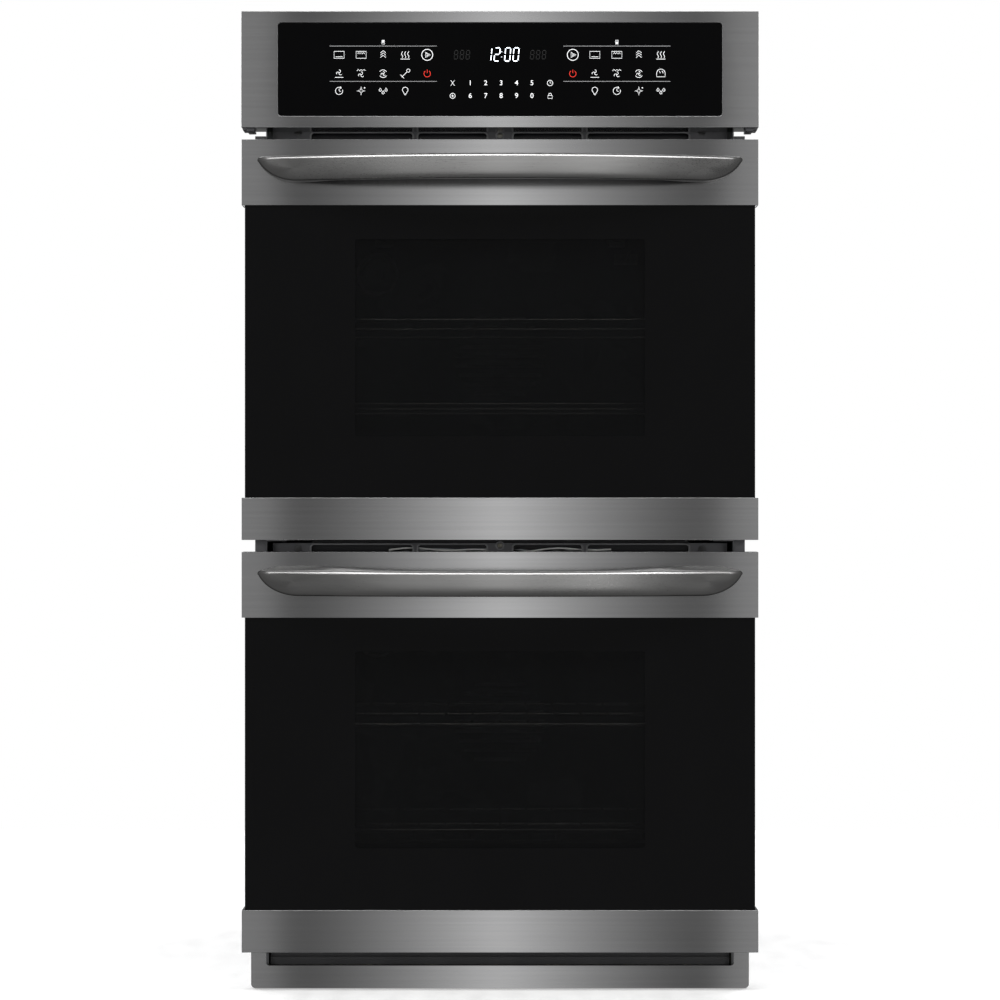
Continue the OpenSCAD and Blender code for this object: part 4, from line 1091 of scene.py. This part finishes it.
@dataclass
class Door:
    """A drop-down door: bands, glass, handle, inner pan and hinges."""

    shop: Workshop
    level: Level
    window_w: float = 384.0 * MM
    window_h: float = 261.0 * MM
    window_up: float = 138.0 * MM
    window_corner: float = 3.0 * MM
    # Bottom edge of the glass above the door's bottom edge, hidden behind the bands
    glass_lap: float = 8.0 * MM
    leaf_l: float = 55.0 * MM
    foot_l: float = 46.0 * MM
    rise_l: float = 66.0 * MM
    nose_l: float = 16.0 * MM
    tip_r: float = 5.0 * MM
    ridge_r: float = 5.2 * MM
    belly_r: float = 9.0 * MM
    rear_r: float = 2.0 * MM
    bow: float = 43.0 * MM
    bar_d: float = 14.0 * MM
    lip_fade: float = 190.0 * MM
    rings: int = 90
    section_points: int = 36

    def __post_init__(self) -> None:
        """Takes the door's planes from the CAD."""
        self.body = f"{self.level.value}_door"
        # The lower bar's leaves rise towards the door by this much, and level out along the bar
        self.lip_h = 6.5 * MM if self.level is Level.LOWER else 0.0
        self.low, self.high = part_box(f"{self.body}_glass")
        self.base = self.low.z - self.glass_lap
        self.window_z = self.base + self.window_up + self.window_h / 2

    def glass(self) -> None:
        """The printed border and the dark clear window, as one flush sheet."""
        clear = 0.15 * MM
        outer = [(self.low.x, self.low.z), (self.high.x, self.low.z), (self.high.x, self.high.z),
                 (self.low.x, self.high.z)]
        hole = oblong(self.window_w, self.window_h, self.window_corner, (0.0, self.window_z))
        bm = bmesh.new()
        prism(bm, [outer, hole], self.low.y, self.high.y)
        self.shop.piece(f"{self.body}_glass_border", bm, self.body, FINISHES["door_glass"], "door_glass",
                        (f"{self.body}_glass",))
        bm = bmesh.new()
        pane = oblong(self.window_w - 0.04 * MM, self.window_h - 0.04 * MM, self.window_corner,
                      (0.0, self.window_z))
        prism(bm, [pane], self.low.y, self.high.y)
        self.shop.piece(f"{self.body}_window", bm, self.body, WINDOW_GLASS, "door_glass")
        bm = bmesh.new()
        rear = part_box(f"{self.body}_panes")[0].y
        outside = oblong(self.window_w + 30 * MM, self.window_h + 30 * MM, 8 * MM, (0.0, self.window_z))
        inside = oblong(self.window_w + 27 * MM, self.window_h + 27 * MM, 7 * MM, (0.0, self.window_z))
        prism(bm, [outside, inside], self.high.y + clear, rear - clear)
        self.shop.piece(f"{self.body}_window_channel", bm, self.body, FINISHES["dark_paint"], "dark_paint")

    def handle_ring(self, x: float, half: float, crest: float, sweep_r: float, depth: float,
                    face: float, top: float, full_h: float) -> list[Vector]:
        """One section of the handle.

        Args:
            x: Where the section lies.
            half: Half the handle's length.
            crest: Outermost plane of the bar.
            sweep_r: Radius of the bar's outer bow.
            depth: Thickness of the bar.
            face: Plane of the door's steel.
            top: Height of the bar's straight upper edge.
            full_h: Height of the bar.

        Returns:
            Points round the section.
        """
        d = half - abs(x)
        part = min(1.0, max(0.0, d / self.leaf_l))
        tall = full_h * max(0.0, 1 - (1 - part) ** 2) ** 0.62
        drop = self.tip_r * (1 - math.sqrt(max(0.0, 1 - (1 - min(1.0, d / self.tip_r)) ** 2)))
        low, high = top - max(tall, self.tip_r + 0.1 * MM), top - drop
        nose = math.sqrt(max(0.0, 1 - (1 - min(1.0, d / self.nose_l)) ** 2))
        outer = crest + sweep_r - math.sqrt(sweep_r * sweep_r - x * x)
        front = face + (outer - face) * (0.35 + 0.65 * nose) * min(1.0, d / (0.5 * MM))
        lift = min(1.0, max(0.0, (d - self.foot_l) / self.rise_l))
        ease = lift * lift * (3 - 2 * lift)
        back = (1 - ease) * face + ease * (front + depth)
        fade = min(1.0, max(0.0, (d - 0.9 * self.leaf_l) / self.lip_fade))
        lip = self.lip_h * min(1.0, d / (0.5 * self.leaf_l)) * (1 - fade * fade * (3 - 2 * fade))
        deep, high_h = back - front, high - low
        ridge = (min(self.ridge_r, deep * 0.45), min(self.ridge_r, high_h * 0.45))
        belly = (min(self.belly_r, deep * 0.5), high_h * 0.58)
        rear = (min(self.rear_r, deep * 0.4), min(self.rear_r, high_h * 0.3))
        corners = ((front, high, ridge, 180), (back, high, rear, 90), (back, low, rear, 0),
                   (front, low, belly, -90))
        points = []
        for y0, z0, (ry, rz), start in corners:
            cy = y0 + ry if y0 == front else y0 - ry
            cz = z0 - rz if z0 == high else z0 + rz
            for k in range(self.section_points // 4):
                a = math.radians(start - 90 * k / (self.section_points // 4 - 1))
                y, z = cy + ry * math.cos(a), cz + rz * math.sin(a)
                if z0 == high:
                    z += lip * (y - front) / max(deep, MM)
                points.append(Vector((x, y, z)))
        return points

    def handle(self) -> None:
        """Bowed bar whose ends flatten into leaves that lie on the steel."""
        low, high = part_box(f"{self.body}_handle")
        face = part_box(f"{self.body}_top_band")[0].y + 0.15 * MM
        half = (high.x - low.x) / 2
        sweep_r = (half * half + self.bow * self.bow) / (2 * self.bow)
        bm = bmesh.new()
        rings = []
        for n in range(self.rings + 1):
            share = -math.cos(math.pi * n / self.rings)
            share = math.copysign(abs(share) ** 0.9, share)
            x = share * (half - 0.1 * MM)
            ring = self.handle_ring(x, half, low.y, sweep_r, self.bar_d, face, high.z, high.z - low.z)
            rings.append([bm.verts.new(p) for p in ring])
        count = self.section_points
        for first, second in zip(rings, rings[1:]):
            for k in range(count):
                bm.faces.new((first[k], first[(k + 1) % count], second[(k + 1) % count], second[k]))
        bm.faces.new(rings[0][::-1])
        bm.faces.new(rings[-1])
        bmesh.ops.recalc_face_normals(bm, faces=bm.faces)
        self.shop.piece(f"{self.body}_handle_bar", bm, self.body, FINISHES["handle_steel"], "handle_steel",
                        (f"{self.body}_handle",), smooth=60.0)

    def inner_side(self) -> None:
        """The enamelled pan with a pressed rib round its window, and its screws."""
        low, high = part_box(f"{self.body}_liner")
        self.shop.soften(f"{self.body}_liner", 0.5 * MM)
        bm = bmesh.new()
        rear = high.y
        for grow, radius in ((52.0 * MM, 2.6 * MM), (92.0 * MM, 1.8 * MM)):
            rib = oblong(self.window_w + grow, self.window_h + grow, 16.0 * MM, (0.0, self.window_z))
            sweep(bm, [Vector((x, rear, z)) for x, z in rib], radius, 10, True)
        press(bm, 1, rear, 0.5)
        self.shop.piece(f"{self.body}_liner_ribs", bm, self.body, FINISHES["enamel"], "enamel")
        bm = bmesh.new()
        inset = 9.0 * MM
        reach = high.x - inset
        for side in (-1, 1):
            for share in (0.32, 0.5, 0.68, 0.86):
                z = low.z + share * (high.z - low.z)
                screw_head(bm, Vector((side * reach, rear, z)), Vector((0, 1, 0)), 3.6 * MM)
        for x in (-0.22, -0.08, 0.08, 0.22):
            screw_head(bm, Vector((x, rear, high.z - inset)), Vector((0, 1, 0)), 3.6 * MM)
        self.shop.piece(f"{self.body}_liner_screws", bm, self.body, FINISHES["screw_steel"], "screw_steel")

    def build(self) -> None:
        """Makes the whole door."""
        for band in ("top_band", "bottom_band"):
            self.shop.soften(f"{self.body}_{band}", 0.4 * MM, STEEL_EDGE_HIGHLIGHT)
        self.glass()
        self.handle()
        self.inner_side()
        self.shop.dress(f"{self.body}_panes", f"{self.body}_hinges")


# ---------- Ovens ----------


@dataclass
class Rack:
    """A wire rack on the rails of one level."""

    shop: Workshop
    node: str
    frame_r: float = 3.0 * MM
    thin_r: float = 1.75 * MM
    pitch: float = 38.0 * MM
    corner: float = 16.0 * MM
    # A flat rack is as tall as its wires; anything taller has a raised deck
    flat_h: float = 12.0 * MM

    def build(self) -> None:
        """Bends the frame wire and lays the cross wires on it."""
        low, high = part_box(self.node)
        x = high.x - self.frame_r
        front, back = low.y + self.frame_r, high.y - self.frame_r
        rail = low.z + self.frame_r
        raised = high.z - low.z > self.flat_h
        lip = high.z - self.frame_r if raised else rail
        deck = (rail + lip) / 2 if raised else rail
        bm = bmesh.new()
        corners = [Vector((x, front, lip)), Vector((x, front, rail)), Vector((x, back, rail)),
                   Vector((x, back, deck)), Vector((-x, back, deck)), Vector((-x, back, rail)),
                   Vector((-x, front, rail)), Vector((-x, front, lip))]
        if not raised:
            corners = [Vector((sx * x, y, rail))
                       for sx, y in ((1, front), (1, back), (-1, back), (-1, front))]
        sweep(bm, rounded(corners, self.corner if not raised else 6.0 * MM, 5, True), self.frame_r, 12, True)
        middle = (front + back) / 2
        bars = [middle] + ([front] if raised else [])
        for y in bars:
            ends = [Vector((-x, y, deck)), Vector((x, y, deck))]
            if raised:
                ends = [Vector((-x, y, rail)), *ends, Vector((x, y, rail))]
            sweep(bm, rounded(ends, 6.0 * MM), self.frame_r, 12)
        count = int((x - 12.0 * MM) / self.pitch)
        top = deck + self.frame_r
        for n in range(-count, count + 1):
            wire = [Vector((n * self.pitch, front, top)), Vector((n * self.pitch, back, top))]
            if raised:
                wire = [Vector((n * self.pitch, front + 0.5 * MM, lip)), *wire]
            sweep(bm, rounded(wire, 5.0 * MM), self.thin_r, 10)
        self.shop.piece(f"{self.node}_wires", bm, self.shop.body[self.node], FINISHES["rack_chrome"],
                        "rack_chrome", (self.node,), smooth=50.0)


@dataclass
class Oven:
    """One enamelled oven with its racks, elements, fan and lamp."""

    shop: Workshop
    level: Level
    frame_up: float = 44.0 * MM
    steel_t: float = 1.2 * MM
    broil_drop: float = 32.0 * MM
    broil_pitch: float = 70.0 * MM
    tube_r: float = 4.0 * MM
    lamp_x: float = -185.0 * MM
    lamp_drop: float = 84.0 * MM

    def __post_init__(self) -> None:
        """Takes the inside of the oven from the CAD."""
        low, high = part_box(f"{self.level.value}_cavity")
        self.face = low.y
        self.back = high.y - self.steel_t
        self.ceiling = high.z - self.frame_up

    def broil_element(self) -> None:
        """Sheathed tube that runs to and fro under the ceiling, and its clips."""
        z = self.ceiling - self.broil_drop
        front, back = self.face + 90 * MM, self.back - 60 * MM
        r = self.broil_pitch / 2
        path = [Vector((-2.5 * self.broil_pitch, self.back, z))]
        for n in range(5):
            x = (n - 2) * self.broil_pitch
            end, sign = (front, -1) if n % 2 == 0 else (back, 1)
            for k in range(13):
                a = math.pi - math.pi * k / 12
                path.append(Vector((x + r * math.cos(a), end + sign * r * math.sin(a), z)))
        path.append(Vector((2.5 * self.broil_pitch, self.back, z)))
        bm = bmesh.new()
        sweep(bm, path, self.tube_r, 14)
        for x in (-1.5, 1.5):
            y = front + 90 * MM
            loop = [Vector((x * self.broil_pitch + dx, y, z + dz)) for dx, dz in
                    ((-6 * MM, self.broil_drop), (-6 * MM, -2 * MM), (0, -6 * MM), (6 * MM, -2 * MM),
                     (6 * MM, self.broil_drop))]
            sweep(bm, rounded(loop, 4 * MM), 1.4 * MM, 8)
        # One CAD node holds both ovens' tubes, so one of the two pieces stands for it
        stands_for = ("broil_elements",) if self.level is Level.UPPER else ()
        self.shop.piece(f"{self.level.value}_broil_tube", bm, CHASSIS, FINISHES["element_sheath"],
                        "element_sheath", stands_for)
        bm = bmesh.new()
        for x in (-2.5, 2.5):
            mid = (x * self.broil_pitch, z)
            prism(bm, [oblong(28 * MM, 24 * MM, 4 * MM, mid)], self.back - 1.5 * MM, self.back)
            for dx in (-9 * MM, 9 * MM):
                screw_head(bm, Vector((mid[0] + dx, self.back - 1.5 * MM, z)), Vector((0, -1, 0)), 2.6 * MM)
        self.shop.piece(f"{self.level.value}_broil_plates", bm, CHASSIS, FINISHES["probe_steel"],
                        "probe_steel")

    def lamp(self) -> None:
        """A small bulb's filament behind the domed glass."""
        z = self.ceiling - self.lamp_drop
        bm = bmesh.new()
        coil = [Vector((self.lamp_x + 2.2 * MM * math.cos(0.9 * k),
                        self.back - 15 * MM + 0.9 * MM * math.sin(0.9 * k),
                        z - 4 * MM + k * 0.12 * MM)) for k in range(60)]
        sweep(bm, coil, 0.3 * MM, 6)
        self.shop.piece(f"{self.level.value}_lamp_filament", bm, CHASSIS, FILAMENT)

    def build(self) -> None:
        """Makes the oven's fine pieces."""
        self.shop.soften(f"{self.level.value}_cavity", 0.35 * MM)
        self.broil_element()
        self.lamp()
        for place in ("high", "low"):
            Rack(self.shop, f"{self.level.value}_rack_{place}").build()
        self.shop.dress(f"{self.level.value}_fan_wheel", f"{self.level.value}_latch_hook",
                        f"{self.level.value}_switch_plunger")


# ---------- Casing and vents ----------


@dataclass
class VentPanel:
    """Slotted panel in the gap above a door."""

    shop: Workshop
    node: str
    # Above the door's top: middle of the slots, and middle of the central hole
    slot_up: float
    hole_up: float
    lip_in: float = 13.0 * MM
    rim_r: float = 1.2 * MM
    slot_h: float = 15.0 * MM
    corner: float = 5.0 * MM
    slots: tuple[Flat, ...] = ((64.0 * MM, 93.0 * MM), (186.0 * MM, 137.0 * MM))

    def build(self, door: Door) -> None:
        """Rounds the panel, raises the rims of its slots in a lighter paint that is a painted highlight, puts
        a near-black plate behind the slots as painted shade, and adds the middle screw.

        Args:
            door: The door below the panel.
        """
        top = door.high.z + door.glass_lap
        low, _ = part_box(self.node)
        self.shop.soften(self.node, 0.35 * MM)
        face = low.y + 14.0 * MM
        bm = bmesh.new()
        for middle, width in self.slots:
            for side in (-1, 1):
                rim = oblong(width + self.rim_r, self.slot_h + self.rim_r, self.corner,
                             (side * middle, top + self.slot_up))
                sweep(bm, [Vector((x, face, z)) for x, z in rim], self.rim_r, 8, True)
        ring = arc(0.0, top + self.hole_up, 5.0 * MM, 0, 345, 23)
        sweep(bm, [Vector((x, face, z)) for x, z in ring], self.rim_r, 8, True)
        press(bm, 1, face, 0.8)
        # The rims are coloured lighter than the panel: a painted highlight.
        self.shop.piece(f"{self.node}_rims", bm, CHASSIS, RIM_HIGHLIGHT_PAINT, "dark_paint")
        # A near-black plate behind the slots: it stands for the duct and paints the shade inside the slots.
        bm = bmesh.new()
        half = self.slots[-1][0] + self.slots[-1][1] / 2
        foot = top + self.slot_up - self.slot_h * 0.7
        head = foot + 1.5 * self.slot_h
        prism(bm, [[(-half, foot), (half, foot), (half, head), (-half, head)]],
              face + self.lip_in, face + self.lip_in + MM)
        self.shop.piece(f"{self.node}_duct_shade_lip", bm, CHASSIS, FINISHES["display_black"])
        bm = bmesh.new()
        screw_head(bm, Vector((0.0, face + 2.0 * MM, top + self.hole_up)), Vector((0, -1, 0)), 4.3 * MM)
        self.shop.piece(f"{self.node}_middle_screw", bm, CHASSIS, FINISHES["hinge_steel"], "hinge_steel")


@dataclass
class Wiring:
    """Loose wires seen through the slots between the ovens."""

    shop: Workshop
    wire_r: float = 1.1 * MM
    half_w: float = 150.0 * MM

    def build(self, door: Door) -> None:
        """Lays three wires that wander past each other.

        Args:
            door: The door below the slots.
        """
        top = door.high.z + door.glass_lap
        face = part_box("upper_cavity")[0].y
        for n, coat in enumerate(WIRE_COATS):
            path = []
            for k in range(61):
                t = k / 60
                x = -self.half_w + 2 * self.half_w * t
                y = face + (19 + 2.6 * n + 1.2 * math.sin(9 * t + 2 * n)) * MM
                z = top + (1.6 + 3.2 * math.sin(14 * t + 2.1 * n) * math.cos(5 * t)) * MM
                path.append(Vector((x, y, z)))
            bm = bmesh.new()
            sweep(bm, path, self.wire_r, 8)
            self.shop.piece(f"slot_wire_{n + 1}", bm, CHASSIS, coat)


@dataclass
class Casing:
    """The zinc-coated casing, its trims and what it holds."""

    shop: Workshop
    bead_r: float = 8.0 * MM
    bead_flat: float = 0.16
    screw_r: float = 3.6 * MM

    def bead(self, bm: bmesh.types.BMesh, line: list[Vector]) -> None:
        """Adds one round-ended bead.

        Args:
            bm: Mesh that takes the bead.
            line: Points of its middle line.
        """
        sweep(bm, line, self.bead_r, 16)
        for tip in (line[0], line[-1]):
            ball = bmesh.ops.create_uvsphere(bm, u_segments=16, v_segments=8, radius=self.bead_r)
            bmesh.ops.translate(bm, vec=tip, verts=ball["verts"])

    def beads(self) -> None:
        """Pressed stiffening beads on the sides and the back."""
        low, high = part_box("left_side_panel")
        depth, height = high.y - low.y, high.z - low.z
        for side, name in ((-1, "left"), (1, "right")):
            plane = side * abs(low.x)
            bm = bmesh.new()
            for share in (0.2, 0.5, 0.8):
                y = low.y + share * depth
                for start, end in ((0.08, 0.44), (0.54, 0.92)):
                    heights = [low.z + height * (start + (end - start) * k / 10) for k in range(11)]
                    self.bead(bm, [Vector((plane, y, z)) for z in heights])
            press(bm, 0, plane, self.bead_flat)
            self.shop.piece(f"{name}_side_beads", bm, CHASSIS, FINISHES["galvanised"], "galvanised",
                            smooth=60.0)
        low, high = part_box("back_panel")
        bm = bmesh.new()
        for x in (-230.0 * MM, 0.0, 230.0 * MM):
            self.bead(bm, [Vector((x, high.y, low.z + height * (0.24 + 0.5 * k / 10))) for k in range(11)])
        press(bm, 1, high.y, self.bead_flat)
        self.shop.piece("back_beads", bm, CHASSIS, FINISHES["galvanised"], "galvanised", smooth=60.0)

    def louvres(self) -> None:
        """Pressed hoods over the slots in the back."""
        _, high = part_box("back_panel")
        bm = bmesh.new()
        for base in (60.0 * MM, high.z - 110.0 * MM):
            for row in range(4):
                for x in (-180.0 * MM, -60.0 * MM, 60.0 * MM, 180.0 * MM):
                    z = base + row * 20.0 * MM + 1.5 * MM
                    hood = [Vector((x + dx, high.y, z)) for dx in (-47 * MM, -43 * MM, 0.0, 43 * MM, 47 * MM)]
                    sweep(bm, hood, 5.4 * MM, 12)
        press(bm, 1, high.y, 0.8)
        self.shop.piece("back_louvre_hoods", bm, CHASSIS, FINISHES["galvanised"], "galvanised", smooth=60.0)

    def shade_deflector(self) -> None:
        """Dark folded plate behind the air slot at the foot: it stands for the deflector there and paints the
        shade inside the slot.
        """
        low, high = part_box("base_pan")
        bm = bmesh.new()
        front = low.y + 4.0 * MM
        half = high.x - 4.0 * MM
        plate, rib = (2.0 * MM, 26.0 * MM), (12.0 * MM, 13.0 * MM)
        for (foot, head), y0, y1 in ((plate, front, front + MM), (rib, front - 3.0 * MM, front)):
            prism(bm, [[(-half, foot), (half, foot), (half, head), (-half, head)]], y0, y1)
        self.shop.piece("foot_shade_deflector", bm, CHASSIS, FINISHES["blower_plastic"])

    def junction_cover(self) -> None:
        """Sheet cover in front of the terminals and the conduit entry."""
        boxes = [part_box(name) for name in ("terminal_block", "conduit_gland")]
        lap = 6.0 * MM
        x0, x1 = min(b[0].x for b in boxes) - lap, max(b[1].x for b in boxes) + lap
        z0, z1 = min(b[0].z for b in boxes) - lap, max(b[1].z for b in boxes) + lap
        front = min(b[0].y for b in boxes) - lap
        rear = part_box("back_panel")[0].y - MM
        bm = bmesh.new()
        centre = ((x0 + x1) / 2, (z0 + z1) / 2)
        rim = oblong(x1 - x0, z1 - z0, 3.0 * MM, centre)
        inner = oblong(x1 - x0 - 2 * MM, z1 - z0 - 2 * MM, 2.0 * MM, centre)
        prism(bm, [rim], front, front + MM)
        prism(bm, [rim, inner], front + MM, rear)
        for x in (x0 + lap, x1 - lap):
            screw_head(bm, Vector((x, front, z1 - lap)), Vector((0, -1, 0)), 3.2 * MM)
        self.shop.piece("junction_cover", bm, CHASSIS, FINISHES["galvanised"], "galvanised")

    def screws(self) -> None:
        """Sheet-metal screws round the sides, the back and the top."""
        low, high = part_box("left_side_panel")
        inset = 9.0 * MM
        bm = bmesh.new()
        for side in (-1, 1):
            for share in (0.03, 0.27, 0.5, 0.73, 0.97):
                spot = Vector((side * abs(low.x), high.y - inset, low.z + share * (high.z - low.z)))
                screw_head(bm, spot, Vector((side, 0, 0)), self.screw_r)
        low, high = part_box("back_panel")
        for side in (-1, 1):
            for share in (0.06, 0.3, 0.54, 0.78, 0.97):
                spot = Vector((side * (high.x - inset), high.y, low.z + share * (high.z - low.z)))
                screw_head(bm, spot, Vector((0, 1, 0)), self.screw_r)
        low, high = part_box("top_cover")
        for side in (-1, 1):
            for share in (0.04, 0.35, 0.66, 0.96):
                spot = Vector((side * (high.x - inset), low.y + share * (high.y - low.y), high.z))
                screw_head(bm, spot, Vector((0, 0, 1)), self.screw_r)
        self.shop.piece("casing_screws", bm, CHASSIS, FINISHES["hinge_steel"], "hinge_steel")

    def build(self) -> None:
        """Dresses the casing and everything fixed inside it."""
        for name in ("left_side_panel", "right_side_panel", "back_panel", "top_cover", "base_pan"):
            self.shop.soften(name, 0.3 * MM, ZINC_EDGE_HIGHLIGHT)
        self.shop.soften("side_trims", 0.3 * MM)
        self.shop.soften("bottom_trim", 0.45 * MM, STEEL_EDGE_HIGHLIGHT)
        self.shop.dress("mid_duct", "insulation_blankets", "door_gaskets", "bake_elements", "ring_elements",
                        "fan_covers", "fan_motors", "lamp_holders", "lamp_lenses", "temperature_probes",
                        "blower_housing", "blower_motor", "blower_wheel", "fixing_screws", "hinge_receivers",
                        "hinge_arms", "latch_units", "terminal_block", "conduit_gland")
        self.shade_deflector()
        self.junction_cover()
        self.beads()
        self.louvres()
        self.screws()


# ---------- Studio ----------


@dataclass
class Studio:
    """Pale floor, soft light and the camera."""

    shop: Workshop
    camera_y: float = -4.14
    camera_z: float = 0.627
    lens: float = 103.2
    backdrop: float = 1.0
    room: float = 0.15
    overhead_power: float = 66.0
    fill_power: float = 55.0
    glint_power: float = 0.035
    back_power: float = 60.0
    # The card that the steel mirrors: its size, power and brightness from its middle outwards
    card_size: Flat = (2.8, 3.6)
    card_power: float = 43.0
    card_tones: tuple[Flat, ...] = ((0.0, 1.0), (0.132, 0.66), (0.264, 0.38), (0.398, 0.18), (0.5, 0.07),
                                    (0.58, 0.03), (0.605, 0.2), (0.625, 0.32), (1.4, 0.34))

    def floor(self) -> None:
        """Pale floor, and the platform that carries the casing."""
        low, high = CAD_BOX
        pale = Moulded("pale_floor", (0.92, 0.92, 0.92), 0.8, 40.0)
        material = self.shop.material(pale)
        surface = material.node_tree.nodes["Principled BSDF"]
        surface.inputs["Emission Color"].default_value = (1.0, 1.0, 1.0, 1.0)
        surface.inputs["Emission Strength"].default_value = 0.38
        bm = bmesh.new()
        bmesh.ops.create_grid(bm, x_segments=8, y_segments=8, size=1.0)
        bmesh.ops.scale(bm, vec=(2.4, 1.25, 1.0), verts=bm.verts)
        bmesh.ops.translate(bm, vec=(0.0, 0.3, low.z), verts=bm.verts)
        self.prop("floor", bm, material)
        face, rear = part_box("upper_cavity")[0].y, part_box("back_panel")[1].y
        bm = bmesh.new()
        bmesh.ops.create_cube(bm, size=1.0)
        bmesh.ops.scale(bm, vec=(0.62, rear - face - 0.004, -low.z), verts=bm.verts)
        bmesh.ops.translate(bm, vec=(0.0, (rear + face + 0.004) / 2, low.z / 2), verts=bm.verts)
        bmesh.ops.bevel(bm, geom=bm.edges[:], offset=0.002, segments=2, profile=0.5, affect="EDGES")
        self.prop("platform", bm, material)

    def prop(self, name: str, bm: bmesh.types.BMesh, material: bpy.types.Material) -> None:
        """Links an object of the stage.

        Args:
            name: Its name.
            bm: Its mesh, which is used up.
            material: Its material.
        """
        mesh = bpy.data.meshes.new(name)
        bm.to_mesh(mesh)
        bm.free()
        mesh.materials.append(material)
        made = bpy.data.objects.new(name, mesh)
        bpy.context.scene.collection.objects.link(made)
        made.visible_glossy = False
        made.visible_shadow = name != "floor"
        LOG.info("%s is part of the stage", name)

    def lamp(self, name: str, place: Place, aim: Place, size: Flat, power: float) -> bpy.types.Object:
        """A soft rectangular light.

        Args:
            name: Name of the light.
            place: Where it hangs.
            aim: What it points at.
            size: Its width and height.
            power: Its power in watts.

        Returns:
            The light's object.
        """
        data = bpy.data.lights.new(name, "AREA")
        data.shape = "RECTANGLE"
        data.size, data.size_y = size
        data.energy = power
        made = bpy.data.objects.new(name, data)
        made.location = place
        made.rotation_euler = (Vector(aim) - Vector(place)).to_track_quat("-Z", "Y").to_euler()
        bpy.context.scene.collection.objects.link(made)
        return made

    def card(self) -> None:
        """Large card, bright along its upright middle line, that only the steel mirrors."""
        middle = (CAD_BOX[0].z + CAD_BOX[1].z) / 2
        made = self.lamp("card", (0.0, self.camera_y - 0.15, middle), (0.0, 0.0, middle), self.card_size,
                         self.card_power)
        made.data.use_nodes = True
        tree = made.data.node_tree
        across = tree.nodes.new("ShaderNodeSeparateXYZ")
        tree.links.new(tree.nodes.new("ShaderNodeNewGeometry").outputs["Parametric"], across.inputs[0])
        ramp = tree.nodes.new("ShaderNodeValToRGB")
        tree.links.new(across.outputs["X"], ramp.inputs[0])
        tree.links.new(ramp.outputs["Color"], tree.nodes["Emission"].inputs["Color"])
        stops = {0.5 + side * away / self.card_size[0]: tone
                 for away, tone in self.card_tones for side in (-1, 1)}
        marks = ramp.color_ramp.elements
        for n, (at, tone) in enumerate(sorted(stops.items())):
            mark = marks[n] if n < 1 else marks.new(at)
            mark.position = at
            mark.color = (tone, tone, tone, 1.0)
        marks[len(marks) - 1].color = (self.card_tones[-1][1],) * 3 + (1.0,)
        made.light_linking.receiver_collection = self.shop.steel

    def light(self) -> None:
        """Overhead softbox, rear lights, fills for the recessed pieces, the racks' glints and the card."""
        self.lamp("overhead", (0.0, -2.0, 2.9), (0.0, -0.3, 0.5), (3.0, 0.8), self.overhead_power)
        for side in (-1, 1):
            fill = self.lamp(f"fill_{side}", (side * 2.7, -3.0, 1.0), (0.0, -0.3, 0.7), (1.0, 1.6),
                             self.fill_power)
            fill.light_linking.receiver_collection = self.shop.recessed
            self.lamp(f"rear_{side}", (side * 2.4, 2.2, 2.0), (0.0, 0.2, 0.6), (1.6, 1.6), self.back_power)
        for level in Level:
            low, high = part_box(f"{level.value}_cavity")
            spot = Vector((0.0, low.y + 8 * MM, high.z - 62 * MM))
            aim = spot + Vector((0.0, 0.12, -0.4))
            glint = self.lamp(f"{level.value}_glint", spot, aim, (0.4, 0.02), self.glint_power)
            glint.visible_camera = False
            glint.light_linking.receiver_collection = self.shop.wires
        self.card()

    def world(self) -> None:
        """White backdrop for the camera and a dim room for everything else."""
        world = bpy.data.worlds.new("studio")
        world.use_nodes = True
        tree = world.node_tree
        tree.nodes.clear()
        room = tree.nodes.new("ShaderNodeBackground")
        room.inputs["Strength"].default_value = self.room
        room.inputs["Color"].default_value = (1.0, 1.0, 1.0, 1.0)
        backdrop = tree.nodes.new("ShaderNodeBackground")
        backdrop.inputs["Strength"].default_value = self.backdrop
        backdrop.inputs["Color"].default_value = (1.0, 1.0, 1.0, 1.0)
        path = tree.nodes.new("ShaderNodeLightPath")
        mix = tree.nodes.new("ShaderNodeMixShader")
        out = tree.nodes.new("ShaderNodeOutputWorld")
        tree.links.new(path.outputs["Is Camera Ray"], mix.inputs[0])
        tree.links.new(room.outputs[0], mix.inputs[1])
        tree.links.new(backdrop.outputs[0], mix.inputs[2])
        tree.links.new(mix.outputs[0], out.inputs[0])
        bpy.context.scene.world = world

    def camera(self) -> None:
        """Long lens, square on to the front."""
        data = bpy.data.cameras.new("camera")
        data.sensor_width = 36.0
        data.lens = self.lens
        made = bpy.data.objects.new("camera", data)
        made.location = (0.0, self.camera_y, self.camera_z)
        made.rotation_euler = (math.pi / 2, 0.0, 0.0)
        bpy.context.scene.collection.objects.link(made)
        bpy.context.scene.camera = made
        bpy.context.scene.view_settings.view_transform = "Standard"

    def build(self) -> None:
        """Sets the whole stage."""
        self.camera()
        self.floor()
        self.light()
        self.world()


def main() -> None:
    """Builds the sub-assemblies in order."""
    logging.basicConfig(level=logging.INFO, format="%(name)s: %(message)s")
    shop = Workshop()
    studio = Studio(shop)
    ControlPanel(shop).build()
    doors = {level: Door(shop, level) for level in Level}
    for level, door in doors.items():
        door.build()
        Oven(shop, level).build()
    VentPanel(shop, "upper_vent_panel", 9.0 * MM, 12.9 * MM).build(doors[Level.UPPER])
    VentPanel(shop, "middle_vent_panel", 1.5 * MM, 7.6 * MM).build(doors[Level.LOWER])
    Wiring(shop).build(doors[Level.LOWER])
    Casing(shop).build()
    studio.build()


if __name__ == "__main__":
    main()
